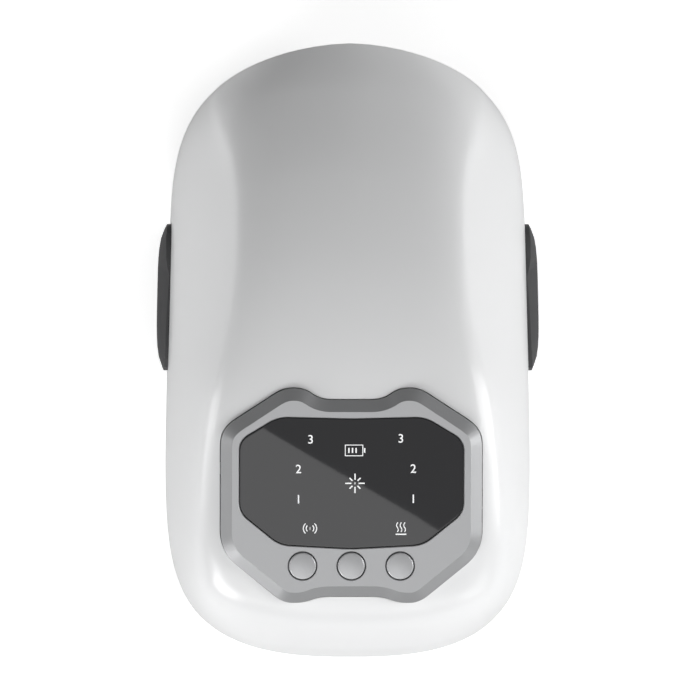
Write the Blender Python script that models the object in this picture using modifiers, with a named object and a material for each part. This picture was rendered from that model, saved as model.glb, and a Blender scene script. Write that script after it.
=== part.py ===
"""Heated knee massager: a hood that lies over the knee, with its knee-side arch, panel and insides.

The object lies open side down on its rim. +Y points to the thigh end, +X to the right of
someone who looks down on the panel, and the origin is on the table under the middle of the hood.
"""

import bisect
import math

import bmesh
import bpy
from mathutils import Matrix, Vector

# Hood: the outer shell and its plan outline.
SHELL_LENGTH = 0.240
SHIN_WIDTH = 0.1436
THIGH_WIDTH = 0.1400
SHELL_HEIGHT = 0.125
SHELL_WALL = 0.003
OUTLINE_POWER = 6
SHIN_ROUND_SHARE = 0.382
THIGH_ROUND_SHARE = 0.580
SHIN_CORNER_SHARE = 0.798
THIGH_CORNER_SHARE = 0.768
RIM_LIFT = 0.034
RIM_START_SHARE = 0.52
RIM_POWER = 2.2

# Along the hood, from the shin end (-1) to the thigh end (1): height of the crown.
CROWN_SHARES = (
    (-1, 0.58), (-0.97, 0.70), (-0.90, 0.845), (-0.80, 0.905), (-0.48, 0.957),
    (-0.15, 1.0), (0.2, 0.975), (0.55, 0.885), (0.85, 0.765), (1, 0.69),
)
# Half-way out to the side wall: where the soft ridge runs, as a share of the half width.
RIDGE_SHARES = (
    (-1, 0.84), (-0.8, 0.82), (-0.5, 0.80), (-0.17, 0.75), (0.1, 0.665), (0.35, 0.635),
    (0.62, 0.665), (0.85, 0.815), (1, 0.96),
)
# Drop from the crown to that ridge, as a share of the hood's height.
DROP_SHARES = (
    (-1, 0.15), (-0.9, 0.065), (-0.75, 0.035), (-0.5, 0.030), (0, 0.042), (0.35, 0.058),
    (0.62, 0.085), (0.85, 0.16), (1, 0.27),
)
# How far the ridge is rounded off, as a share of the half width.
SOFT_SHARES = ((-1, 0.16), (-0.5, 0.15), (0, 0.09), (0.4, 0.045), (1, 0.03))

# Knee-side arch and the fits between shells.
FIT = 0.0003
SEAM = 0.0008
ARCH_WALL = 0.0024
ARCH_ROOM = 0.045
ARCH_LIFT = 0.0026
ARCH_FLARE_POWER = 7
ARCH_SIDE_SHARE = 0.85
ARCH_SECTION_SHARES = (
    (0, 1.0), (0.36, 1.0), (0.72, 0.985), (0.95, 0.86), (1.0, 0.59), (1.0, 0.34), (1.02, 0.15),
)

# Control panel. The outlines are shares of the panel's half width and half length.
PANEL_PLACE_SHARE = -0.4775
PANEL_TILT = math.radians(8.5)
PANEL_WIDTH_SHARE = 0.709
PANEL_LENGTH_SHARE = 0.351
PANEL_OUTLINE_SHARES = (
    (0.235, 0.895), (0.365, 1.0), (0.520, 1.0), (0.940, 0.665), (1.0, 0.545), (1.0, -0.425),
    (0.940, -0.585), (0.520, -1.0), (0.365, -1.0), (0.235, -0.940),
)
PANEL_CORNER = 0.0044
PANEL_PROUD = 0.0028
PANEL_CHAMFER = 0.0044
PANEL_EDGE = 0.0005
PANEL_SKIRT = 0.0068
PANEL_WALL = 0.0045
PANEL_FACE = 0.0042
WINDOW_OUTLINE_SHARES = (
    (0, 0.722), (0.562, 0.739), (0.857, 0.523), (0.857, -0.143), (0.548, -0.447), (0, -0.482),
)
WINDOW_CORNER = 0.0042
WINDOW_THICK = 0.0019
WINDOW_SUNK = 0.0003
WINDOW_LEDGE = 0.0018

# Buttons and their switches.
BUTTON_RADIUS = 0.00525
BUTTON_PITCH = 0.0190
BUTTON_ROW_SHARE = -0.646
BUTTON_PROUD = 0.0007
BUTTON_CROWN = 0.0005
BUTTON_EDGE = 0.0006
BUTTON_GAP = 0.0004
BUTTON_FLANGE_RADIUS = 0.0066
BUTTON_FLANGE_THICK = 0.0013
BUTTON_STEM_RADIUS = 0.0018
BUTTON_STEM = 0.0007
BUTTON_TRAVEL = 0.0008
SWITCH_SIDE = 0.0060
SWITCH_HEIGHT = 0.0018
SWITCH_PLUNGER_RADIUS = 0.0016
SWITCH_PLUNGER = 0.0005
BOARD_THICK = 0.0016
GUIDE_INSET = 0.0024
CHIP_HEIGHT = 0.0012
CHIP_SIDE = 0.0070
CHIP_LENGTH_SHARE = 0.30
CHIP_PLACE = 0.0210

# Cells, tray and power board.
CELL_RADIUS = 0.0092
CELL_LENGTH = 0.065
CELL_PITCH = 0.0196
CELL_GAP = 0.0030
CELL_CAP_RADIUS = 0.0034
CELL_CAP = 0.0011
CELL_RIM = 0.0006
TRAY_FLOOR = 0.0016
TRAY_WALL = 0.0018
TRAY_DEPTH = 0.0100
POWER_BOARD_WIDTH = 0.044
POWER_BOARD_GAP = 0.0025
POWER_BOARD_END_ROOM = 0.0220
POWER_BOARD_LIFT = 0.0034
COIL_RADIUS_SHARE = 0.10
COIL_HEIGHT = 0.0042
COIL_PLACE = 0.0120

# Air pump, valve block and hoses.
PUMP_PLACE_SHARE = -0.5333
PUMP_RADIUS = 0.0098
PUMP_MOTOR_LENGTH = 0.0260
PUMP_HEAD_LENGTH = 0.0200
PUMP_HEAD_SIDE = 0.0200
PUMP_LEFT_END = -0.0360
PUMP_FACET = 0.0022
VALVE_LENGTH = 0.0160
VALVE_SIDE = 0.0120
VALVE_LEFT_END = 0.0200
NIPPLE_RADIUS = 0.0014
NIPPLE_LENGTH = 0.0030
HOSE_RADIUS = 0.0024
HOSE_WALL = 0.0007
HOSE_WAY = 0.0055

# Air bags, heating film and liner, all laid on the knee side of the arch.
PAD_STEP_SHARE = 0.09
PAD_ALONG_STEP_SHARE = 0.0775
BAG_COLUMNS = (4, 9)
BAG_ROWS = (5, 17)
BAG_SEAT = 0.0004
BAG_SEAM = 0.0010
BAG_PUFF = 0.0050
INLET_ACROSS_SHARE = 0.47
INLET_ALONG_SHARE = -0.38
FILM_THICK = 0.0005
FILM_ACROSS_SHARE = 0.30
FILM_LOW_SHARE = 0.05
FILM_HIGH_SHARE = 0.75
LINER_COLUMNS = 10
LINER_ROWS = 24
LINER_EDGE = 0.0022
LINER_PAD = 0.0038
LINER_CHANNEL = 0.0016
LINER_CHANNELS = 6

# Lens and its board over the knee cap.
LENS_RADIUS = 0.0150
LENS_FLANGE = 0.0018
LENS_THICK = 0.0022
LENS_DOME = 0.0010
LED_RADIUS = 0.0020
LED_HEIGHT = 0.0012
LED_RING = 0.0090
LED_COUNT = 6

# Vibration motors in their cradles.
MOTOR_RADIUS = 0.0062
MOTOR_LENGTH = 0.0200
MOTOR_ACROSS = 0.0375
MOTOR_START = 0.0140
MOTOR_LIFT = 0.0068
MOTOR_SHAFT_RADIUS = 0.0010
MOTOR_SHAFT = 0.0085
WEIGHT_RADIUS = 0.0055
WEIGHT_THICK = 0.0060
WEIGHT_GAP = 0.0010
CRADLE_WALL = 0.0020

# Screws and bosses that join the two shells.
SCREW_PLACE_SHARES = ((-0.474, -0.733), (0.474, -0.733), (-0.514, 0.550), (0.514, 0.550))
BOSS_RADIUS = 0.0042
POST_RADIUS = 0.0054
POST_RISE = 0.0075
SCREW_RADIUS = 0.0014
SCREW_HEAD_RADIUS = 0.0027
SCREW_HEAD = 0.0018
SCREW_LENGTH = 0.0120
SCREW_SOCKET_RADIUS = 0.0014
SCREW_SOCKET = 0.0009
POST_ROOF = 0.0026

# Charging port in the right wall.
PORT_PLACE = -0.0380
PORT_HEIGHT = 0.0400
PORT_WIDTH = 0.0094
PORT_TALL = 0.0038
PORT_DEPTH = 0.0078
PORT_WALL = 0.0005
PORT_TONGUE = 0.0008

# Strap wings and strap.
EAR_LOW = -0.0070
EAR_HIGH = 0.0504
EAR_BOTTOM = 0.0072
EAR_TOP = 0.0410
EAR_PROUD = 0.0047
EAR_EDGE = 0.0003
EAR_CORNER = 0.0090
EAR_ROUND_POWER = 4
STRAP_WIDTH = 0.050
STRAP_THICK = 0.0020
STRAP_BEND = 0.0040
STRAP_TUCK = 0.0010
STRAP_OVERLAP = 0.0440
STRAP_RAMP = 0.0200
PATCH_THICK = 0.0008
PATCH_INSET = 0.0030
NOTCH_HEIGHT = 0.0045
NOTCH_SIDE = 0.0020

# Counts of faces.
ACROSS_STEPS = 18
ALONG_STEPS = 26
ARCH_ACROSS_STEPS = 11
ARCH_ALONG_STEPS = 18
EAR_STEPS = 10
ROUND_SIDES = 20
SMALL_SIDES = 10
CORNER_STEPS = 3
CURVE_STEPS = 3
OVERRUN = 0.010
SAMPLE_SHARE = 0.004
TOUCH = 0.00002

# Places that follow from the sizes above, from the shin end to the thigh end.
HALF_LENGTH = SHELL_LENGTH / 2
ARCH_CROWN = SHELL_HEIGHT - ARCH_ROOM
MOTOR_HEIGHT = ARCH_CROWN + MOTOR_LIFT
PANEL_PLACE = PANEL_PLACE_SHARE * HALF_LENGTH
PANEL_WIDTH = PANEL_WIDTH_SHARE * SHIN_WIDTH
PANEL_LENGTH = PANEL_LENGTH_SHARE * SHELL_LENGTH
BUTTON_ROW = BUTTON_ROW_SHARE * PANEL_LENGTH / 2
PUMP_MIDDLE = PUMP_PLACE_SHARE * HALF_LENGTH
LENS_MIDDLE = PUMP_MIDDLE + PUMP_HEAD_SIDE / 2 + HOSE_WAY + LENS_RADIUS
TRAY_HALF_LENGTH = CELL_LENGTH / 2 + CELL_CAP + FIT + TRAY_WALL
CELL_MIDDLE = LENS_MIDDLE + LENS_RADIUS + LENS_FLANGE + CELL_GAP + TRAY_HALF_LENGTH
POWER_BOARD_START = CELL_MIDDLE + TRAY_HALF_LENGTH + POWER_BOARD_GAP
POWER_BOARD_LENGTH = HALF_LENGTH - POWER_BOARD_END_ROOM - POWER_BOARD_START
POWER_BOARD_MIDDLE = POWER_BOARD_START + POWER_BOARD_LENGTH / 2
LINER_ACROSS_SHARE = PAD_STEP_SHARE * LINER_COLUMNS
LINER_ALONG_SHARE = PAD_ALONG_STEP_SHARE * LINER_ROWS / 2
ARCH_INSET = SHELL_WALL + SEAM


def clear_scene():
    for old in list(bpy.data.objects):
        bpy.data.objects.remove(old, do_unlink=True)
    for old in list(bpy.data.collections):
        bpy.data.collections.remove(old)


def make_collection(name):
    collection = bpy.data.collections.new(name)
    bpy.context.scene.collection.children.link(collection)
    return collection


clear_scene()
PARTS = make_collection("knee_massager")
CUTTERS = make_collection("cutters")


def make_material(name, color, roughness, metallic=0, transmission=0):
    material = bpy.data.materials.new(name)
    material.use_nodes = True
    shader = material.node_tree.nodes["Principled BSDF"]
    shader.inputs["Base Color"].default_value = (*color, 1)
    shader.inputs["Roughness"].default_value = roughness
    shader.inputs["Metallic"].default_value = metallic
    shader.inputs["Transmission Weight"].default_value = transmission
    material.diffuse_color = (*color, 1)
    return material


WHITE = make_material("shell_white", (0.80, 0.81, 0.82), 0.22)
SILVER = make_material("panel_silver", (0.42, 0.43, 0.44), 0.34, 0.35)
SMOKE = make_material("window_smoke", (0.045, 0.045, 0.048), 0.06)
GRAPHITE = make_material("graphite_plastic", (0.045, 0.046, 0.050), 0.5)
CLEAR = make_material("guide_white", (0.75, 0.76, 0.76), 0.4)
BOARD = make_material("board_green", (0.02, 0.16, 0.07), 0.45)
BLACK = make_material("black_plastic", (0.02, 0.02, 0.022), 0.4)
CELL = make_material("cell_wrap", (0.05, 0.18, 0.42), 0.3)
STEEL = make_material("steel", (0.60, 0.60, 0.60), 0.28, 1)
BRASS = make_material("weight_brass", (0.65, 0.47, 0.2), 0.35, 1)
HOSE = make_material("hose_rubber", (0.70, 0.71, 0.70), 0.5)
BAG = make_material("bag_film", (0.30, 0.31, 0.33), 0.35)
FILM = make_material("heating_film", (0.55, 0.28, 0.06), 0.35)
CLOTH = make_material("liner_cloth", (0.06, 0.06, 0.066), 0.9)
STRAP = make_material("strap_cloth", (0.035, 0.035, 0.038), 0.85)
WING = make_material("wing_rubber", (0.045, 0.045, 0.048), 0.6)
LENS = make_material("lens_red", (0.55, 0.03, 0.03), 0.1, 0, 0.4)


def read_shares(shares, place):
    """Value at a place along a table of (place, value) shares, run through smoothly."""
    places = [row[0] for row in shares]
    last = len(shares) - 2
    index = min(max(bisect.bisect_right(places, place) - 1, 0), last)
    start, first = shares[index]
    end, second = shares[index + 1]
    before = shares[max(index - 1, 0)]
    after = shares[min(index + 2, last + 1)]
    slope_in = (second - before[1]) / (end - before[0])
    slope_out = (after[1] - first) / (after[0] - start)
    run = end - start
    mix = (place - start) / run
    rise = mix * mix * (3 - 2 * mix)
    lean_in = mix * (1 - mix) ** 2
    lean_out = mix * mix * (1 - mix)
    return first + (second - first) * rise + run * (slope_in * lean_in - slope_out * lean_out)


def smooth_step(value):
    value = min(max(value, 0), 1)
    return value * value * (3 - 2 * value)


def spline_point(controls, share):
    """Point at a share of a clamped uniform cubic B-spline over these control points."""
    spans = len(controls) - 3
    place = share * spans
    first = min(int(place), spans - 1)
    knots = [0] * 3 + list(range(spans + 1)) + [spans] * 3
    points = [Vector(control) for control in controls[first:first + 4]]
    for level in (1, 2, 3):
        for index in range(3, level - 1, -1):
            low = knots[first + index]
            high = knots[first + index + 4 - level]
            points[index] = points[index - 1].lerp(points[index], (place - low) / (high - low))
    return points[3]


def broad_half(y):
    """Half width of the hood before its ends are rounded."""
    mix = smooth_step((y + HALF_LENGTH / 2) / HALF_LENGTH)
    return (SHIN_WIDTH + (THIGH_WIDTH - SHIN_WIDTH) * mix) / 2


def outline_half(y):
    """Half width of the hood's plan outline at y."""
    round_share = THIGH_ROUND_SHARE if y > 0 else SHIN_ROUND_SHARE
    return broad_half(y) * (1 - abs(y / HALF_LENGTH) ** OUTLINE_POWER) ** round_share


def end_reach(along, across_share):
    """How far the hood's end lies from the middle, at a share of the way out to its corner."""
    if along > 0:
        corner_share, round_share = THIGH_CORNER_SHARE, THIGH_ROUND_SHARE
    else:
        corner_share, round_share = SHIN_CORNER_SHARE, SHIN_ROUND_SHARE
    left_over = 1 - (abs(across_share) * corner_share) ** (1 / round_share)
    return HALF_LENGTH * left_over ** (1 / OUTLINE_POWER)


def side_place(along):
    """Y of the side rim at a share along the hood."""
    return along * end_reach(along, 1)


def rim_height(along):
    lift_share = max(abs(along) - RIM_START_SHARE, 0) / (1 - RIM_START_SHARE)
    return RIM_LIFT * lift_share ** RIM_POWER


def hood_controls(along):
    """Control points of half the hood's section, (x, z) from the crown out to the rim."""
    half = outline_half(side_place(along))
    crown = SHELL_HEIGHT * read_shares(CROWN_SHARES, along)
    rim = rim_height(along)
    ridge = half * read_shares(RIDGE_SHARES, along)
    drop = SHELL_HEIGHT * read_shares(DROP_SHARES, along)
    soft = half * read_shares(SOFT_SHARES, along)
    wall_top = crown - drop
    wall = wall_top - rim
    return [
        (0, crown),
        (ridge * 0.55, crown - drop * 0.05),
        (ridge - soft * 0.6, crown - drop * 0.6),
        (ridge + soft * 0.4, wall_top - soft * 0.35),
        (ridge + (half - ridge) * 0.74, wall_top - wall * 0.26),
        (half, wall_top - wall * 0.50),
        (half, wall_top - wall * 0.76),
        (half, rim),
    ]


def arch_controls(along):
    """Control points of half the knee-side arch's section, seen from inside the hood."""
    end_side = math.copysign(1, along)
    end = hood_controls(end_side)
    half = outline_half(side_place(along)) - ARCH_INSET
    rim = rim_height(along) + ARCH_LIFT
    flare = abs(along) ** ARCH_FLARE_POWER
    middle = [
        (across_share * half * ARCH_SIDE_SHARE, rim + height_share * (ARCH_CROWN - rim))
        for across_share, height_share in ARCH_SECTION_SHARES
    ]
    middle.append((half, rim))
    narrow = half / end[-1][0]
    end_crown = end[0][1]
    end_rim = end[-1][1]
    squash = (end_crown - ARCH_INSET - rim) / (end_crown - end_rim)
    mixed = []
    for (x, z), (end_x, end_z) in zip(middle, end):
        flared_z = rim + (end_z - end_rim) * squash
        mixed.append((x + (end_x * narrow - x) * flare, z + (flared_z - z) * flare))
    return mixed


def place_along(along, across_share, trim):
    reach = end_reach(along, across_share) - trim
    return along * reach


def hood_point(across, along):
    """Point on the outside of the hood, at shares across and along it."""
    x, z = spline_point(hood_controls(along), abs(across))
    half = outline_half(side_place(along))
    return Vector((math.copysign(x, across), place_along(along, min(x / half, 1), 0), z))


def arch_point(across, along):
    """Point on the side of the knee arch that faces the hood."""
    x, z = spline_point(arch_controls(along), abs(across))
    half = outline_half(side_place(along)) - ARCH_INSET
    return Vector((math.copysign(x, across), place_along(along, min(x / half, 1), ARCH_INSET), z))


def normal_at(surface, across, along):
    left = surface(max(across - SAMPLE_SHARE, -1), along)
    right = surface(min(across + SAMPLE_SHARE, 1), along)
    back = surface(across, max(along - SAMPLE_SHARE, -1))
    front = surface(across, min(along + SAMPLE_SHARE, 1))
    return (right - left).cross(front - back).normalized()


def sunk(surface, depth):
    """The same surface, sunk along its normals by a depth that may be a function of place."""
    def point(across, along):
        amount = depth(across, along) if callable(depth) else depth
        return surface(across, along) - normal_at(surface, across, along) * amount
    return point


def even_shares(low, high, steps):
    return [low + (high - low) * step / steps for step in range(steps + 1)]


def end_dense_shares(steps):
    """Shares from -1 to 1 that crowd towards both ends."""
    return [(3 * share - share ** 3) / 2 for share in even_shares(-1, 1, steps)]


HOOD_ACROSS_SHARES = even_shares(-1, 1, 2 * ACROSS_STEPS)
HOOD_ALONG_SHARES = end_dense_shares(ALONG_STEPS)
ARCH_ACROSS_SHARES = even_shares(-1, 1, 2 * ARCH_ACROSS_STEPS)
ARCH_ALONG_SHARES = end_dense_shares(ARCH_ALONG_STEPS)


def link(name, mesh, material, collection=PARTS):
    obj = bpy.data.objects.new(name, mesh)
    collection.objects.link(obj)
    if material:
        mesh.materials.append(material)
    return obj


def finish_mesh(name, shape, material, collection=PARTS, smooth=True):
    bmesh.ops.recalc_face_normals(shape, faces=shape.faces)
    mesh = bpy.data.meshes.new(name)
    shape.to_mesh(mesh)
    shape.free()
    if smooth:
        mesh.shade_smooth()
        mesh.set_sharp_from_angle(angle=math.radians(35))
    return link(name, mesh, material, collection)


def loft_between(name, outer, inner, across_shares, along_shares, material, collection=PARTS):
    """Closed body between two surfaces that share one grid, joined round their edges."""
    shape = bmesh.new()
    grids = []
    for surface in (outer, inner):
        grids.append([[shape.verts.new(surface(a, b)) for a in across_shares] for b in along_shares])
    columns = len(across_shares)
    rows = len(along_shares)
    for grid in grids:
        for row in range(rows - 1):
            for column in range(columns - 1):
                shape.faces.new((
                    grid[row][column], grid[row][column + 1],
                    grid[row + 1][column + 1], grid[row + 1][column],
                ))
    border = [(0, column) for column in range(columns)]
    border += [(row, columns - 1) for row in range(1, rows)]
    border += [(rows - 1, column) for column in range(columns - 2, -1, -1)]
    border += [(row, 0) for row in range(rows - 2, 0, -1)]
    for here, there in zip(border, border[1:] + border[:1]):
        shape.faces.new((
            grids[0][here[0]][here[1]], grids[0][there[0]][there[1]],
            grids[1][there[0]][there[1]], grids[1][here[0]][here[1]],
        ))
    return finish_mesh(name, shape, material, collection)


def boolean(target, tool, operation="DIFFERENCE"):
    modifier = target.modifiers.new(tool.name, "BOOLEAN")
    modifier.operation = operation
    modifier.object = tool
    tool.hide_render = True
    tool.display_type = "WIRE"
    if tool.name in PARTS.objects:
        PARTS.objects.unlink(tool)
        CUTTERS.objects.link(tool)
    return target


def box(name, low, high, material=None, collection=PARTS, bevel=0, segments=2):
    """Box between two corners, with its edges rounded when a bevel is given."""
    low, high = Vector(low), Vector(high)
    shape = bmesh.new()
    bmesh.ops.create_cube(shape, size=1)
    size = high - low
    bmesh.ops.scale(shape, vec=size, verts=shape.verts)
    if bevel:
        bmesh.ops.bevel(
            shape, geom=shape.edges[:], offset=bevel, segments=segments, affect="EDGES", profile=0.5
        )
    obj = finish_mesh(name, shape, material, collection)
    obj.location = (low + high) / 2
    return obj


def turned(name, profile, material=None, collection=PARTS, sides=ROUND_SIDES):
    """Solid of revolution about local Z. The profile runs (radius, z) from top to bottom."""
    shape = bmesh.new()
    rings = []
    for radius, z in profile:
        ring = []
        for side in range(sides):
            turn = 2 * math.pi * side / sides
            ring.append(shape.verts.new((radius * math.cos(turn), radius * math.sin(turn), z)))
        rings.append(ring)
    for upper, lower in zip(rings, rings[1:]):
        for side in range(sides):
            after = (side + 1) % sides
            shape.faces.new((upper[side], lower[side], lower[after], upper[after]))
    shape.faces.new(rings[0])
    shape.faces.new(rings[-1])
    return finish_mesh(name, shape, material, collection)


def rounded_outline(points, radius, outset=0):
    """Closed outline, moved out by an outset, with each corner rounded off by a short curve."""
    points = offset_outline([Vector(point) for point in points], outset)
    outline = []
    for index, corner in enumerate(points):
        here = corner
        before = points[index - 1] - here
        after = points[(index + 1) % len(points)] - here
        cut_in = here + before.normalized() * min(radius, before.length * 0.45)
        cut_out = here + after.normalized() * min(radius, after.length * 0.45)
        for step in range(CORNER_STEPS + 1):
            share = step / CORNER_STEPS
            outline.append(cut_in.lerp(here, share).lerp(here.lerp(cut_out, share), share))
    return outline


def panel_points(outline_shares):
    """Whole outline in the panel's plane from the shares of its right half."""
    right = [(x * PANEL_WIDTH / 2, y * PANEL_LENGTH / 2) for x, y in outline_shares]
    left = [(-x, y) for x, y in reversed(right) if x > 0]
    return right + left


def offset_outline(outline, amount):
    """The outline moved outward by an amount, or inward when it is negative."""
    area = sum(a.x * b.y - b.x * a.y for a, b in zip(outline, outline[1:] + outline[:1]))
    side = math.copysign(1, area)
    moved = []
    for index, here in enumerate(outline):
        before = (here - outline[index - 1]).normalized()
        after = (outline[(index + 1) % len(outline)] - here).normalized()
        out_before = Vector((before.y, -before.x)) * side
        out_after = Vector((after.y, -after.x)) * side
        mitre = (out_before + out_after).normalized()
        moved.append(here + mitre * amount / max(mitre.dot(out_after), 0.5))
    return moved


def stacked(name, levels, material=None, collection=PARTS):
    """Solid through outlines of equal counts, each given with its height."""
    shape = bmesh.new()
    rings = [[shape.verts.new((p.x, p.y, z)) for p in outline] for outline, z in levels]
    count = len(rings[0])
    for lower, upper in zip(rings, rings[1:]):
        for index in range(count):
            after = (index + 1) % count
            shape.faces.new((lower[index], lower[after], upper[after], upper[index]))
    shape.faces.new(rings[0])
    shape.faces.new(rings[-1])
    return finish_mesh(name, shape, material, collection)


def tube(name, points, radius, material=None, collection=PARTS, bore=0):
    """Round hose along a smooth curve through the points, with a bore when one is given."""
    def path(curve_name, thickness, run):
        curve = bpy.data.curves.new(curve_name, "CURVE")
        curve.dimensions = "3D"
        curve.bevel_depth = thickness
        curve.bevel_resolution = 2
        curve.use_fill_caps = True
        spline = curve.splines.new("POLY")
        spline.points.add(len(run) - 1)
        for target, point in zip(spline.points, run):
            target.co = (*point, 1)
        holder = bpy.data.objects.new(curve_name, curve)
        CUTTERS.objects.link(holder)
        graph = bpy.context.evaluated_depsgraph_get()
        mesh = bpy.data.meshes.new_from_object(holder.evaluated_get(graph))
        bpy.data.objects.remove(holder)
        shape = bmesh.new()
        shape.from_mesh(mesh)
        bmesh.ops.remove_doubles(shape, verts=shape.verts, dist=TOUCH)
        bpy.data.meshes.remove(mesh)
        return shape

    run = smooth_run(points)
    hose = finish_mesh(name, path(name, radius, run), material, collection)
    if bore:
        lead_in = (run[0] - run[1]).normalized() * radius
        lead_out = (run[-1] - run[-2]).normalized() * radius
        long_run = [run[0] + lead_in] + run + [run[-1] + lead_out]
        core = finish_mesh(name + "_bore", path(name + "_bore", bore, long_run), None, CUTTERS)
        boolean(hose, core)
    return hose


def smooth_run(points):
    """Points along a smooth curve through the given ones, straight in its first and last stretch."""
    points = [Vector(point) for point in points]
    leans = [(after - before).normalized() for before, after in zip(points, points[2:])]
    leans[0] = (points[1] - points[0]).normalized()
    leans[-1] = (points[-1] - points[-2]).normalized()
    run = [points[0]]
    inner = points[1:-1]
    for here, there, lean, next_lean in zip(inner, inner[1:], leans, leans[1:]):
        reach = (there - here).length
        for step in range(CURVE_STEPS):
            mix = step / CURVE_STEPS
            rise = mix * mix * (3 - 2 * mix)
            bend = lean * mix * (1 - mix) ** 2 - next_lean * mix * mix * (1 - mix)
            run.append(here.lerp(there, rise) + bend * reach)
    return run + points[-2:]


def hood_volume(name, depth):
    """Filled solid under the hood's wall, for trimming what stands up to it."""
    def floor(across, along):
        point = hood_point(across, along)
        return Vector((point.x, point.y, -OVERRUN))

    return loft_between(
        name, sunk(hood_point, depth), floor, HOOD_ACROSS_SHARES, HOOD_ALONG_SHARES, None, CUTTERS
    )


def knee_volume(name, depth):
    """Filled solid on the knee side of the arch's wall, for trimming what stands on it."""
    def floor(across, along):
        point = arch_point(across, along)
        return Vector((point.x, point.y, -OVERRUN))

    return loft_between(
        name, sunk(arch_point, depth), floor, ARCH_ACROSS_SHARES, ARCH_ALONG_SHARES, None, CUTTERS
    )


def crown_height(surface, x, y):
    """Height of a surface over the plan point (x, y), found by closing in on its shares."""
    across, along = 0.4 * x / (THIGH_WIDTH / 2), y / HALF_LENGTH
    for _ in range(30):
        point = surface(across, along)
        across += (x - point.x) / THIGH_WIDTH
        along += (y - point.y) / SHELL_LENGTH
        across = min(max(across, -1), 1)
        along = min(max(along, -1), 1)
    return surface(across, along).z


def build_shells():
    hood = loft_between(
        "front_shell", hood_point, sunk(hood_point, SHELL_WALL),
        HOOD_ACROSS_SHARES, HOOD_ALONG_SHARES, WHITE,
    )
    arch = loft_between(
        "inner_shell", arch_point, sunk(arch_point, ARCH_WALL),
        ARCH_ACROSS_SHARES, ARCH_ALONG_SHARES, GRAPHITE,
    )
    return hood, arch


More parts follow.
